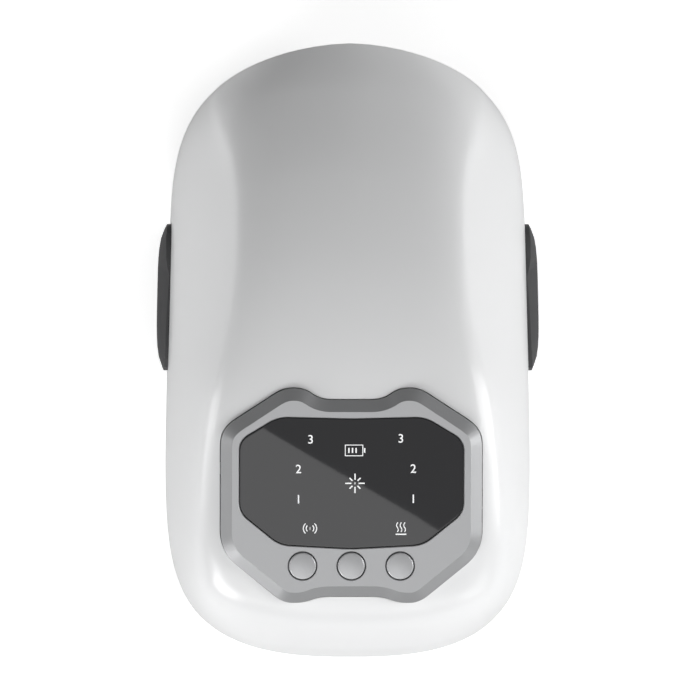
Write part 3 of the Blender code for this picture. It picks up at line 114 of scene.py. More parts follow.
def object_place(tree):
    return tree.nodes.new("ShaderNodeTexCoord").outputs["Object"]


# %% [markdown]
# Two effects are shared by many finishes: a slow change of tone, which keeps plastic and paint from
# looking like one flat colour, and a fine grain, which is what a moulded surface has. Each is a node
# group with named inputs, built once.

# %% Shared node groups
def make_group(name, inputs, outputs):
    group = bpy.data.node_groups.new(name, "ShaderNodeTree")
    for label, kind, value in inputs:
        socket = group.interface.new_socket(label, in_out="INPUT", socket_type=kind)
        if value is not None:
            socket.default_value = value
    for label, kind in outputs:
        group.interface.new_socket(label, in_out="OUTPUT", socket_type=kind)
    start = group.nodes.new("NodeGroupInput")
    end = group.nodes.new("NodeGroupOutput")
    return group, start, end


def build_tone_group():
    group, start, end = make_group(
        "slow_tone",
        [("Place", "NodeSocketVector", None), ("Color", "NodeSocketColor", (1, 1, 1, 1)),
         ("Scale", "NodeSocketFloat", 30), ("Amount", "NodeSocketFloat", 0.05),
         ("Roughness", "NodeSocketFloat", 0.3), ("Spread", "NodeSocketFloat", 0.05)],
        [("Color", "NodeSocketColor"), ("Roughness", "NodeSocketFloat")],
    )
    noise = add_node(group, "ShaderNodeTexNoise", Detail=3)
    group.links.new(start.outputs["Place"], noise.inputs["Vector"])
    group.links.new(start.outputs["Scale"], noise.inputs["Scale"])
    centred = add_node(group, "ShaderNodeMath", operation="SUBTRACT")
    centred.inputs[1].default_value = 0.5
    group.links.new(noise.outputs["Fac"], centred.inputs[0])
    tone = add_node(group, "ShaderNodeMath", operation="MULTIPLY")
    group.links.new(centred.outputs[0], tone.inputs[0])
    group.links.new(start.outputs["Amount"], tone.inputs[1])
    level = add_node(group, "ShaderNodeMath", operation="ADD")
    level.inputs[1].default_value = 1
    group.links.new(tone.outputs[0], level.inputs[0])
    mixed = add_node(group, "ShaderNodeVectorMath", operation="SCALE")
    group.links.new(start.outputs["Color"], mixed.inputs[0])
    group.links.new(level.outputs[0], mixed.inputs["Scale"])
    group.links.new(mixed.outputs[0], end.inputs["Color"])
    rough = add_node(group, "ShaderNodeMath", operation="MULTIPLY_ADD")
    group.links.new(centred.outputs[0], rough.inputs[0])
    group.links.new(start.outputs["Spread"], rough.inputs[1])
    group.links.new(start.outputs["Roughness"], rough.inputs[2])
    group.links.new(rough.outputs[0], end.inputs["Roughness"])
    return group


def build_grain_group():
    group, start, end = make_group(
        "fine_grain",
        [("Place", "NodeSocketVector", None), ("Scale", "NodeSocketFloat", 900),
         ("Detail", "NodeSocketFloat", 2)],
        [("Height", "NodeSocketFloat")],
    )
    noise = add_node(group, "ShaderNodeTexNoise")
    for label, socket in (("Place", "Vector"), ("Scale", "Scale"), ("Detail", "Detail")):
        group.links.new(start.outputs[label], noise.inputs[socket])
    group.links.new(noise.outputs["Fac"], end.inputs["Height"])
    return group


TONE = build_tone_group()
GRAIN = build_grain_group()


def add_group(tree, group, **values):
    node = tree.nodes.new("ShaderNodeGroup")
    node.node_tree = group
    for key, value in values.items():
        node.inputs[key].default_value = value
    tree.links.new(object_place(tree), node.inputs["Place"])
    return node


def add_bump(tree, shader, height, distance, strength=1.0):
    bump = add_node(tree, "ShaderNodeBump", Distance=distance, Strength=strength)
    tree.links.new(height, bump.inputs["Height"])
    tree.links.new(bump.outputs["Normal"], shader.inputs["Normal"])
    return bump


def moulded(name, color, roughness, tone=0.05, spread=0.08, grain=900, depth=0.01, **plain):
    """A moulded or painted finish: slow tone and fine grain over one colour. depth is in mm."""
    material, tree, shader = new_finish(name, color, roughness, **plain)
    slow = add_group(
        tree, TONE, Color=(*color, 1), Scale=35, Amount=tone, Roughness=roughness, Spread=spread
    )
    tree.links.new(slow.outputs["Color"], shader.inputs["Base Color"])
    tree.links.new(slow.outputs["Roughness"], shader.inputs["Roughness"])
    fine = add_group(tree, GRAIN, Scale=grain)
    add_bump(tree, shader, fine.outputs["Height"], depth * MM)
    return material


def dress(material, *names):
    for name in names:
        mesh = NODES[name].data
        for index in range(len(mesh.materials)):
            mesh.materials[index] = material
        if not mesh.materials:
            mesh.materials.append(material)


print("shared groups", TONE.name, GRAIN.name)

# %% [markdown]
# The hood is gloss white plastic with a soft clear skin. The panel frame is silver paint over
# plastic, a little metallic. The window is smoked acrylic, polished.

# The paint on the frame's sloping band looks darker than on its face, because its flakes lie flat and
# mirror the dim side of the room there. That dim reflection is painted in as shade: a mask from the
# surface's own direction takes some of the colour off the slopes.

# %% Finishes of the outside
PANEL_TILT = math.radians(8.5)
SLOPE_SHADE_SHARE = 0.66


def paint_slope_shade(material, share):
    """Paints shade: scales the colour by a share where the surface leans away from the panel's own
    direction.
    """
    tree = material.node_tree
    shader = tree.nodes["Principled BSDF"]
    painted = shader.inputs["Base Color"].links[0].from_socket
    facing = tree.nodes.new("ShaderNodeTexCoord")
    lean = add_node(tree, "ShaderNodeVectorMath", operation="DOT_PRODUCT")
    lean.inputs[1].default_value = (0, -math.sin(PANEL_TILT), math.cos(PANEL_TILT))
    tree.links.new(facing.outputs["Normal"], lean.inputs[0])
    spread = add_node(tree, "ShaderNodeMapRange", interpolation_type="SMOOTHSTEP")
    spread.inputs["From Min"].default_value = 0.84
    spread.inputs["From Max"].default_value = 0.985
    spread.inputs["To Min"].default_value = share
    spread.inputs["To Max"].default_value = 1
    tree.links.new(lean.outputs["Value"], spread.inputs["Value"])
    scaled = add_node(tree, "ShaderNodeVectorMath", operation="SCALE")
    tree.links.new(painted, scaled.inputs[0])
    tree.links.new(spread.outputs["Result"], scaled.inputs["Scale"])
    tree.links.new(scaled.outputs[0], shader.inputs["Base Color"])


HOOD_WHITE = (0.83, 0.835, 0.84)
PANEL_SILVER = (0.50, 0.505, 0.515)
WINDOW_SMOKE = (0.040, 0.040, 0.042)
WING_GREY = (0.042, 0.042, 0.044)

hood_finish = moulded(
    "gloss_white_plastic", HOOD_WHITE, 0.30, tone=0.02, spread=0.06, grain=700, depth=0.002,
    Coat_Weight=0.25, Coat_Roughness=0.12,
)
silver_finish = moulded(
    "satin_silver_paint", PANEL_SILVER, 0.42, tone=0.03, spread=0.06, grain=2600, depth=0.004, Metallic=0.35,
)
# Painted shade on the frame's sloping band, standing for the dim room that the paint mirrors there.
paint_slope_shade(silver_finish, SLOPE_SHADE_SHARE)
button_finish = moulded(
    "button_silver_paint", (0.50, 0.505, 0.515), 0.36, tone=0.03, grain=2600, depth=0.004, Metallic=0.35,
)
window_finish = moulded(
    "smoked_acrylic", WINDOW_SMOKE, 0.012, tone=0.03, spread=0.01, grain=300, depth=0.0001,
)
wing_finish = moulded("wing_rubber", WING_GREY, 0.62, tone=0.10, grain=1800, depth=0.02)
print("outside finishes", hood_finish.name, silver_finish.name, wing_finish.name)

# %% [markdown]
# The pieces inside are dressed as well. Circuit boards carry copper tracks under green lacquer with
# gold pads, the heating film has rows of conductors in amber film, the cells are shrink-wrapped with
# bare metal ends, and the red lens has fine rings.

# %% Patterns for the inside
def build_track_group():
    """Square tracks and round pads of a circuit board, as two masks."""
    group, start, end = make_group(
        "board_tracks",
        [("Place", "NodeSocketVector", None), ("Scale", "NodeSocketFloat", 380)],
        [("Track", "NodeSocketFloat"), ("Pad", "NodeSocketFloat")],
    )
    squares = add_node(group, "ShaderNodeTexVoronoi", distance="CHEBYCHEV")
    dots = add_node(group, "ShaderNodeTexVoronoi")
    for cells in (squares, dots):
        group.links.new(start.outputs["Place"], cells.inputs["Vector"])
        group.links.new(start.outputs["Scale"], cells.inputs["Scale"])
    spread = add_node(group, "ShaderNodeMath", operation="MULTIPLY")
    spread.inputs[1].default_value = 3.0
    group.links.new(squares.outputs["Distance"], spread.inputs[0])
    rest = add_node(group, "ShaderNodeMath", operation="FRACT")
    group.links.new(spread.outputs[0], rest.inputs[0])
    track = add_node(group, "ShaderNodeMath", operation="COMPARE")
    track.inputs[1].default_value = 0.5
    track.inputs[2].default_value = 0.16
    group.links.new(rest.outputs[0], track.inputs[0])
    pad = add_node(group, "ShaderNodeMath", operation="LESS_THAN")
    pad.inputs[1].default_value = 0.13
    group.links.new(dots.outputs["Distance"], pad.inputs[0])
    group.links.new(track.outputs[0], end.inputs["Track"])
    group.links.new(pad.outputs[0], end.inputs["Pad"])
    return group


def build_stripe_group():
    """Even stripes along an axis: Count in each metre, each filling Share of its step."""
    group, start, end = make_group(
        "stripes",
        [("Place", "NodeSocketVector", None), ("Axis", "NodeSocketVector", None),
         ("Count", "NodeSocketFloat", 200), ("Share", "NodeSocketFloat", 0.5)],
        [("Mask", "NodeSocketFloat"), ("Height", "NodeSocketFloat")],
    )
    along = add_node(group, "ShaderNodeVectorMath", operation="DOT_PRODUCT")
    group.links.new(start.outputs["Place"], along.inputs[0])
    group.links.new(start.outputs["Axis"], along.inputs[1])
    scaled = add_node(group, "ShaderNodeMath", operation="MULTIPLY")
    group.links.new(along.outputs["Value"], scaled.inputs[0])
    group.links.new(start.outputs["Count"], scaled.inputs[1])
    wave = add_node(group, "ShaderNodeMath", operation="PINGPONG")
    wave.inputs[1].default_value = 0.5
    group.links.new(scaled.outputs[0], wave.inputs[0])
    doubled = add_node(group, "ShaderNodeMath", operation="MULTIPLY")
    doubled.inputs[1].default_value = 2
    group.links.new(wave.outputs[0], doubled.inputs[0])
    mask = add_node(group, "ShaderNodeMath", operation="LESS_THAN")
    group.links.new(doubled.outputs[0], mask.inputs[0])
    group.links.new(start.outputs["Share"], mask.inputs[1])
    group.links.new(mask.outputs[0], end.inputs["Mask"])
    group.links.new(doubled.outputs[0], end.inputs["Height"])
    return group


def mixed(tree, mask, below, above):
    """Mixes two colours, given as a socket or as plain values, by a mask."""
    blend = add_node(tree, "ShaderNodeMix", data_type="RGBA")
    tree.links.new(mask, blend.inputs["Factor"])
    for slot, color in ((6, below), (7, above)):
        if isinstance(color, tuple):
            blend.inputs[slot].default_value = (*color, 1)
        else:
            tree.links.new(color, blend.inputs[slot])
    return blend.outputs[2]


def paint_over(material, mask, color, metal=False):
    """Paints a colour over a finish where a mask is one, and makes it metal there if asked."""
    tree = material.node_tree
    shader = tree.nodes["Principled BSDF"]
    below = shader.inputs["Base Color"].links[0].from_socket
    tree.links.new(mixed(tree, mask, below, color), shader.inputs["Base Color"])
    if metal:
        tree.links.new(mask, shader.inputs["Metallic"])


TRACKS = build_track_group()
STRIPES = build_stripe_group()
print("pattern groups", TRACKS.name, STRIPES.name)

# %% Finishes of the inside
inside_rows = {
    "graphite_plastic": ((0.045, 0.046, 0.050), 0.55, 1500, 0.03, ["inner_shell"]),
    "diffuser_white": ((0.75, 0.76, 0.76), 0.4, 900, 0.01, ["light_guide"]),
    "black_plastic": (
        (0.02, 0.02, 0.022), 0.42, 1800, 0.012,
        ["massage_switch", "power_switch", "heat_switch", "battery_tray", "air_pump_head", "air_valve"],
    ),
    "hose_rubber": (
        (0.70, 0.71, 0.70), 0.5, 700, 0.02, ["pump_hose", "air_hose_left", "air_hose_right"],
    ),
}
for name, (color, roughness, grain, depth, pieces) in inside_rows.items():
    dress(moulded(name, color, roughness, grain=grain, depth=depth), *pieces)

board_finish = moulded("board_green", (0.012, 0.11, 0.045), 0.34, tone=0.08, Coat_Weight=0.3)
board_masks = add_group(board_finish.node_tree, TRACKS)
paint_over(board_finish, board_masks.outputs["Track"], (0.03, 0.22, 0.08))
paint_over(board_finish, board_masks.outputs["Pad"], (0.80, 0.62, 0.30), metal=True)
dress(board_finish, "display_board", "power_board", "light_board")

film_finish = moulded("heating_film", (0.50, 0.24, 0.04), 0.32, tone=0.08)
film_masks = add_group(film_finish.node_tree, STRIPES, Axis=(0, 1, 0), Count=230, Share=0.42)
paint_over(film_finish, film_masks.outputs["Mask"], (0.72, 0.40, 0.24), metal=True)
dress(film_finish, "heating_film")

cell_finish = moulded(
    "cell_wrap", (0.04, 0.15, 0.36), 0.3, tone=0.08, grain=300, depth=0.04, Coat_Weight=0.4
)
cell_tree = cell_finish.node_tree
cell_side = add_node(cell_tree, "ShaderNodeVectorMath", operation="DOT_PRODUCT")
cell_side.inputs[1].default_value = (0, 1, 0)
cell_facing = cell_tree.nodes.new("ShaderNodeTexCoord")
cell_tree.links.new(cell_facing.outputs["Normal"], cell_side.inputs[0])
cell_end = add_node(cell_tree, "ShaderNodeMath", operation="ABSOLUTE")
cell_tree.links.new(cell_side.outputs["Value"], cell_end.inputs[0])
cell_mask = add_node(cell_tree, "ShaderNodeMath", operation="GREATER_THAN")
cell_mask.inputs[1].default_value = 0.9
cell_tree.links.new(cell_end.outputs[0], cell_mask.inputs[0])
paint_over(cell_finish, cell_mask.outputs[0], (0.62, 0.62, 0.62), metal=True)
dress(cell_finish, "battery_left", "battery_right")

lens_finish = moulded("lens_red", (0.55, 0.03, 0.03), 0.12, tone=0.04, Transmission_Weight=0.35)
lens_masks = add_group(lens_finish.node_tree, STRIPES, Axis=(0, 1, 0), Count=900, Share=0.5)
add_bump(
    lens_finish.node_tree, lens_finish.node_tree.nodes["Principled BSDF"],
    lens_masks.outputs["Height"], 0.05 * MM,
)
dress(lens_finish, "light_lens")

steel_finish = moulded(
    "turned_steel", (0.60, 0.60, 0.61), 0.28, tone=0.08, spread=0.16, grain=2200, Metallic=1.0
)
brass_finish = moulded(
    "turned_brass", (0.65, 0.47, 0.20), 0.32, tone=0.10, spread=0.16, grain=2200, Metallic=1.0
)
for metal_finish in (steel_finish, brass_finish):
    metal_lines = add_group(metal_finish.node_tree, STRIPES, Axis=(0, 1, 0.4), Count=4200, Share=0.5)
    metal_tree = metal_finish.node_tree
    add_bump(metal_tree, metal_tree.nodes["Principled BSDF"], metal_lines.outputs["Height"], 0.004 * MM)
dress(
    steel_finish, "air_pump_motor", "vibration_motor_left", "vibration_motor_right",
    "shell_screw_1", "shell_screw_2", "shell_screw_3", "shell_screw_4",
)
dress(brass_finish, "vibration_weight_left", "vibration_weight_right")
print("inside finishes", len(inside_rows) + 6)

# %% [markdown]
# The hood is one moulded skin, so its light runs over it without a break. The plain solid has
# large facets, and a smooth skin needs small ones that lie on the same curves. So the hood is
# modelled again from the same sizes: a grid is laid over shares from -1 to 1 across and along, and
# every point is moved to the hood's section at its place. The tables give, along the hood, the
# height of the crown, the place and drop of the soft ridge, and how far the ridge is rounded.

# %% Sizes of the hood
SHELL_LENGTH = 240 * MM
SHIN_WIDTH = 143.6 * MM
THIGH_WIDTH = 140 * MM
SHELL_HEIGHT = 125 * MM
SHELL_WALL = 3 * MM
HALF_LENGTH = SHELL_LENGTH / 2
FIT = 0.3 * MM
OUTLINE_POWER = 6
SHIN_ROUND_SHARE = 0.382
THIGH_ROUND_SHARE = 0.580
SHIN_CORNER_SHARE = 0.798
THIGH_CORNER_SHARE = 0.768
RIM_LIFT = 34 * MM
RIM_START_SHARE = 0.52
RIM_POWER = 2.2
CROWN_SHARES = (
    (-1, 0.58), (-0.97, 0.70), (-0.90, 0.845), (-0.80, 0.905), (-0.48, 0.957),
    (-0.15, 1.0), (0.2, 0.975), (0.55, 0.885), (0.85, 0.765), (1, 0.69),
)
RIDGE_SHARES = (
    (-1, 0.84), (-0.8, 0.82), (-0.5, 0.80), (-0.17, 0.75), (0.1, 0.665), (0.35, 0.635),
    (0.62, 0.665), (0.85, 0.815), (1, 0.96),
)
DROP_SHARES = (
    (-1, 0.15), (-0.9, 0.065), (-0.75, 0.035), (-0.5, 0.030), (0, 0.042), (0.35, 0.058),
    (0.62, 0.085), (0.85, 0.16), (1, 0.27),
)
SOFT_SHARES = ((-1, 0.16), (-0.5, 0.15), (0, 0.09), (0.4, 0.045), (1, 0.03))


# %% Curves of the hood
def read_shares(shares, place):
    """Value at a place along a table of (place, value) shares, run through smoothly."""
    places = [row[0] for row in shares]
    last = len(shares) - 2
    index = min(max(bisect.bisect_right(places, place) - 1, 0), last)
    start, first = shares[index]
    end, second = shares[index + 1]
    before = shares[max(index - 1, 0)]
    after = shares[min(index + 2, last + 1)]
    slope_in = (second - before[1]) / (end - before[0])
    slope_out = (after[1] - first) / (after[0] - start)
    run = end - start
    mix = (place - start) / run
    rise = mix * mix * (3 - 2 * mix)
    lean_in = mix * (1 - mix) ** 2
    lean_out = mix * mix * (1 - mix)
    return first + (second - first) * rise + run * (slope_in * lean_in - slope_out * lean_out)


def smooth_step(value):
    value = min(max(value, 0), 1)
    return value * value * (3 - 2 * value)


def spline_point(controls, share):
    """Point at a share of a clamped uniform cubic B-spline over these control points."""
    spans = len(controls) - 3
    place = share * spans
    first = min(int(place), spans - 1)
    knots = [0] * 3 + list(range(spans + 1)) + [spans] * 3
    points = [Vector(control) for control in controls[first:first + 4]]
    for level in (1, 2, 3):
        for index in range(3, level - 1, -1):
            low = knots[first + index]
            high = knots[first + index + 4 - level]
            points[index] = points[index - 1].lerp(points[index], (place - low) / (high - low))
    return points[3]


def outline_half(y):
    """Half width of the hood's plan outline at y."""
    mix = smooth_step((y + HALF_LENGTH / 2) / HALF_LENGTH)
    broad = (SHIN_WIDTH + (THIGH_WIDTH - SHIN_WIDTH) * mix) / 2
    round_share = THIGH_ROUND_SHARE if y > 0 else SHIN_ROUND_SHARE
    return broad * (1 - abs(y / HALF_LENGTH) ** OUTLINE_POWER) ** round_share


def end_reach(along, across_share):
    """How far the hood's end lies from the middle, at a share of the way out to its corner."""
    if along > 0:
        corner_share, round_share = THIGH_CORNER_SHARE, THIGH_ROUND_SHARE
    else:
        corner_share, round_share = SHIN_CORNER_SHARE, SHIN_ROUND_SHARE
    left_over = 1 - (abs(across_share) * corner_share) ** (1 / round_share)
    return HALF_LENGTH * left_over ** (1 / OUTLINE_POWER)


def hood_section(along):
    """Control points of half the hood's section, (x, z) from the crown out to the rim."""
    half = outline_half(along * end_reach(along, 1))
    crown = SHELL_HEIGHT * read_shares(CROWN_SHARES, along)
    rim = RIM_LIFT * (max(abs(along) - RIM_START_SHARE, 0) / (1 - RIM_START_SHARE)) ** RIM_POWER
    ridge = half * read_shares(RIDGE_SHARES, along)
    drop = SHELL_HEIGHT * read_shares(DROP_SHARES, along)
    soft = half * read_shares(SOFT_SHARES, along)
    wall_top = crown - drop
    wall = wall_top - rim
    controls = [
        (0, crown),
        (ridge * 0.55, crown - drop * 0.05),
        (ridge - soft * 0.6, crown - drop * 0.6),
        (ridge + soft * 0.4, wall_top - soft * 0.35),
        (ridge + (half - ridge) * 0.74, wall_top - wall * 0.26),
        (half, wall_top - wall * 0.50),
        (half, wall_top - wall * 0.76),
        (half, rim),
    ]
    return half, controls


def hood_point(across, along, section=None):
    """Point on the outside of the hood, at shares across and along it."""
    half, controls = section or hood_section(along)
    x, z = spline_point(controls, abs(across))
    reach = end_reach(along, min(x / half, 1))
    return Vector((math.copysign(x, across), along * reach, z))


def crown_height(y):
    """Height of the hood's middle line at y."""
    low, high = -1.0, 1.0
    for _ in range(40):
        middle = (low + high) / 2
        if hood_point(0, middle).y < y:
            low = middle
        else:
            high = middle
    return hood_point(0, low).z


print("crown over the panel", round(crown_height(-57.3 * MM) / MM, 2), "mm")


# %% [markdown]
# The operators of edit mode act on what is selected, so three small helpers keep the rest short.
# One empties the selection, one runs a modifier and applies it, and one settles a finished piece:
# its place goes into its mesh, its faces turn smooth up to an angle, and it rides on a body.

# %% Helpers for modelling
def clear_selection():
    bpy.ops.object.select_all(action="DESELECT")


def activate(piece):
    clear_selection()
    piece.select_set(True)
    bpy.context.view_layer.objects.active = piece


def run_modifier(piece, kind, **values):
    activate(piece)
    modifier = piece.modifiers.new(kind.lower(), kind)
    for key, value in values.items():
        setattr(modifier, key, value)
    bpy.ops.object.modifier_apply(modifier=modifier.name)


def cut_with(piece, cutter, operation="DIFFERENCE"):
    run_modifier(piece, "BOOLEAN", object=cutter, operation=operation, solver="EXACT")
    bpy.data.objects.remove(cutter)


def settle(piece, name, body, finish, *nodes, angle=35, slot=None, flat_faces=False):
    piece.name = name
    piece.data.name = name
    activate(piece)
    bpy.ops.object.transform_apply(location=True, rotation=True, scale=True)
    bpy.ops.object.shade_smooth_by_angle(angle=math.radians(angle))
    if flat_faces:
        run_modifier(piece, "WEIGHTED_NORMAL", mode="FACE_AREA", weight=100, keep_sharp=True)
    piece.data.materials.clear()
    piece.data.materials.append(finish)
    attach(piece, body)
    if nodes:
        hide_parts(*nodes)
    print(name, len(piece.data.polygons), "faces")
    return piece


# %% [markdown]
# The panel's outline is one shape that many cutters and bodies share, so it is worked out once. Its
# points are shares of the panel's half width and half length, and each corner is rounded by a short
# curve. An outline is turned into a body by a filled circle whose points are moved onto it, and
# then extruded.

# %% Panel outlines
PANEL_PLACE = -57.3 * MM
PANEL_WIDTH = 101.8 * MM
PANEL_LENGTH = 84.24 * MM
PANEL_OUTLINE_SHARES = (
    (0.235, 0.895), (0.365, 1.0), (0.520, 1.0), (0.940, 0.665), (1.0, 0.545), (1.0, -0.425),
    (0.940, -0.585), (0.520, -1.0), (0.365, -1.0), (0.235, -0.940),
)
WINDOW_OUTLINE_SHARES = (
    (0, 0.722), (0.562, 0.739), (0.857, 0.523), (0.857, -0.143), (0.548, -0.447), (0, -0.482),
)
PANEL_CORNER = 4.4 * MM
WINDOW_CORNER = 4.2 * MM
PANEL_SKIRT = 6.8 * MM
PANEL_PROUD = 2.8 * MM
PANEL_CHAMFER = 4.4 * MM
PANEL_WALL = 4.5 * MM
PANEL_FACE = 4.2 * MM
OVERRUN = 10 * MM
CORNER_STEPS = 10
LEAST_CUT = 0.3 * MM
panel_place = Matrix.Translation((0, PANEL_PLACE, crown_height(PANEL_PLACE)))
PANEL_SEAT = panel_place @ Matrix.Rotation(PANEL_TILT, 4, "X")


def moved_outline(outline, amount):
    """The outline moved outward by an amount, or inward when it is negative."""
    area = sum(a.x * b.y - b.x * a.y for a, b in zip(outline, outline[1:] + outline[:1]))
    side = math.copysign(1, area)
    moved = []
    for index, here in enumerate(outline):
        before = (here - outline[index - 1]).normalized()
        after = (outline[(index + 1) % len(outline)] - here).normalized()
        out_before = Vector((before.y, -before.x)) * side
        out_after = Vector((after.y, -after.x)) * side
        mitre = (out_before + out_after).normalized()
        moved.append(here + mitre * amount / max(mitre.dot(out_after), 0.5))
    return moved


def rounded_outline(shares, cut, outset=0):
    """Closed outline of the panel or its window, moved out by an outset, with round corners.

    A corner is cut back along its two sides and bridged by a curve. The cut grows with the outset
    at an outer corner and shrinks at an inner one, so that a band between two outlines runs evenly.
    """
    right = [Vector((x * PANEL_WIDTH / 2, y * PANEL_LENGTH / 2)) for x, y in shares]
    left = [Vector((-point.x, point.y)) for point in reversed(right) if point.x > 0]
    plain = right + left
    points = moved_outline(plain, outset)
    outline = []
    for index, here in enumerate(points):
        before = (plain[index - 1] - plain[index])
        after = (plain[(index + 1) % len(plain)] - plain[index])
        way_in, way_out = -before.normalized(), after.normalized()
        turn = way_in.x * way_out.y - way_in.y * way_out.x
        growth = -outset * turn / (1 + way_in.dot(way_out))
        cut_in = here - way_in * max(min(cut, before.length * 0.45) + growth, LEAST_CUT)
        cut_out = here + way_out * max(min(cut, after.length * 0.45) + growth, LEAST_CUT)
        for step in range(CORNER_STEPS + 1):
            share = step / CORNER_STEPS
            outline.append(cut_in.lerp(here, share).lerp(here.lerp(cut_out, share), share))
    return outline


def panel_outline(outset=0):
    return rounded_outline(PANEL_OUTLINE_SHARES, PANEL_CORNER, outset)


def window_outline(outset=0):
    return rounded_outline(WINDOW_OUTLINE_SHARES, WINDOW_CORNER, outset)


def outline_body(levels):
    """Body between outlines with the same number of points, given as (outline, height) from low to high."""
    clear_selection()
    low_outline, low = levels[0]
    bpy.ops.mesh.primitive_circle_add(vertices=len(low_outline), fill_type="NGON")
    body = bpy.context.object
    for vertex, point in zip(body.data.vertices, low_outline):
        vertex.co = (point.x, point.y, low)
    bpy.ops.object.mode_set(mode="EDIT")
    for outline, height in levels[1:]:
        bpy.ops.mesh.extrude_region_move(TRANSFORM_OT_translate={"value": (0, 0, height - low)})
        shape = bmesh.from_edit_mesh(body.data)
        top = [face for face in shape.faces if face.select][0]
        for vertex, point in zip(ring_of(top, low_outline), outline):
            vertex.co = (point.x, point.y, height)
        bmesh.update_edit_mesh(body.data)
        low_outline, low = outline, height
    bpy.ops.mesh.select_all(action="SELECT")
    bpy.ops.mesh.normals_make_consistent(inside=False)
    bpy.ops.object.mode_set(mode="OBJECT")
    return body


def ring_of(face, outline):
    """The face's corners in the order of the outline that they stand on."""
    corners = list(face.verts)
    ordered = []
    for point in outline:
        ordered.append(min(corners, key=lambda vertex: (vertex.co.xy - point).length_squared))
    return ordered


def circle(x, y, radius, sides=64):
    turns = [2 * math.pi * side / sides for side in range(sides)]
    return [Vector((x + radius * math.cos(turn), y + radius * math.sin(turn))) for turn in turns]


def round_body(x, y, levels):
    """Turned body about an upright line through (x, y), given as (radius, height) from low to high."""
    return outline_body([(circle(x, y, radius), height) for radius, height in levels])


# %% [markdown]
# The hood: the grid goes onto the section curves, gets its wall inward, and its rim is rounded. Then
# the panel's seat, the ways of the two strap wings and the slot of the charging port are cut.

# %% Hood
HOOD_ACROSS = 110
HOOD_ALONG = 170
RIM_ROUND = 0.7 * MM
WING_CORNER = 9 * MM


def hood_skin():
    clear_selection()
    bpy.ops.mesh.primitive_grid_add(x_subdivisions=HOOD_ACROSS, y_subdivisions=HOOD_ALONG, size=2)
    hood = bpy.context.object
    sections = {}
    for vertex in hood.data.vertices:
        across, share = vertex.co.x, vertex.co.y
        along = (3 * share - share ** 3) / 2
        key = round(share, 6)
        if key not in sections:
            sections[key] = hood_section(along)
        vertex.co = hood_point(across, along, sections[key])
    run_modifier(hood, "SOLIDIFY", thickness=SHELL_WALL, offset=-1, use_even_offset=True)
    run_modifier(
        hood, "BEVEL", width=RIM_ROUND, segments=3, limit_method="ANGLE", angle_limit=math.radians(60)
    )
    return hood


def wing_way(side):
    """Cutter for a strap wing, open at the rim, with round upper corners."""
    low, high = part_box("strap_ear_right")
    clear_selection()
    bpy.ops.mesh.primitive_cube_add(size=1)
    cutter = bpy.context.object
    wide = high.y - low.y + 2 * FIT
    top = high.z + FIT
    cutter.scale = (40 * MM, wide, top + 2 * OVERRUN)
    cutter.location = (side * (high.x - OVERRUN / 2), (low.y + high.y) / 2, top / 2 - OVERRUN)
    bpy.ops.object.transform_apply(location=True, rotation=False, scale=True)
    bpy.ops.object.mode_set(mode="EDIT")
    shape = bmesh.from_edit_mesh(cutter.data)
    for edge in shape.edges:
        first, second = edge.verts
        level = abs(first.co.z - second.co.z) < FIT and abs(first.co.y - second.co.y) < FIT
        edge.select = level and first.co.z > 0
    bmesh.update_edit_mesh(cutter.data)
    bpy.ops.mesh.bevel(offset=WING_CORNER, segments=8)
    bpy.ops.object.mode_set(mode="OBJECT")
    return cutter


def port_way():
    low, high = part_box("charging_port")
    clear_selection()
    middle = (low + high) / 2
    bpy.ops.mesh.primitive_cube_add(size=1, location=(low.x + 10 * MM, middle.y, middle.z))
    cutter = bpy.context.object
    cutter.scale = (20 * MM + 2 * FIT, high.y - low.y + 2 * FIT, high.z - low.z + 2 * FIT)
    run_modifier(cutter, "BEVEL", width=0.6 * (high.z - low.z) / 2, segments=4)
    return cutter


hood = hood_skin()
REACH = PANEL_SKIRT + OVERRUN
panel_way = outline_body([(panel_outline(FIT), -REACH), (panel_outline(FIT), REACH)])
panel_way.matrix_world = PANEL_SEAT
cut_with(hood, panel_way)
for side in (-1, 1):
    cut_with(hood, wing_way(side))
cut_with(hood, port_way())
settle(hood, "hood", "shell", hood_finish, "front_shell", slot="shell_white", angle=40)

# %% [markdown]
# The panel frame is a silver body with a broad sloping band round a flat face. Its two edges are
# rounded unlike: the outer one is crisp, and the inner one is soft, so the light turns slowly
# there. The window's seat and the button bores get a fine lead-in that catches a thin light line.

# %% Panel frame
WINDOW_THICK = 1.9 * MM
WINDOW_SUNK = 0.3 * MM
WINDOW_LEDGE = 1.8 * MM
WINDOW_FLOOR = PANEL_PROUD - WINDOW_SUNK - WINDOW_THICK - FIT
FRAME_EDGE = 0.5 * MM
FACE_EDGE = 1.1 * MM
LEAD_IN = 0.25 * MM
BUTTON_RADIUS = 5.25 * MM
BUTTON_PITCH = 19 * MM
BUTTON_ROW = -0.646 * PANEL_LENGTH / 2
BUTTON_GAP = 0.4 * MM


def bevel_edges_at(piece, height, amount, segments):
    activate(piece)
    bpy.ops.object.mode_set(mode="EDIT")
    bpy.ops.mesh.select_all(action="DESELECT")
    shape = bmesh.from_edit_mesh(piece.data)
    for edge in shape.edges:
        edge.select = all(abs(vertex.co.z - height) < FIT / 10 for vertex in edge.verts)
    bmesh.update_edit_mesh(piece.data)
    bpy.ops.mesh.bevel(offset=amount, segments=segments, profile=0.5)
    bpy.ops.object.mode_set(mode="OBJECT")


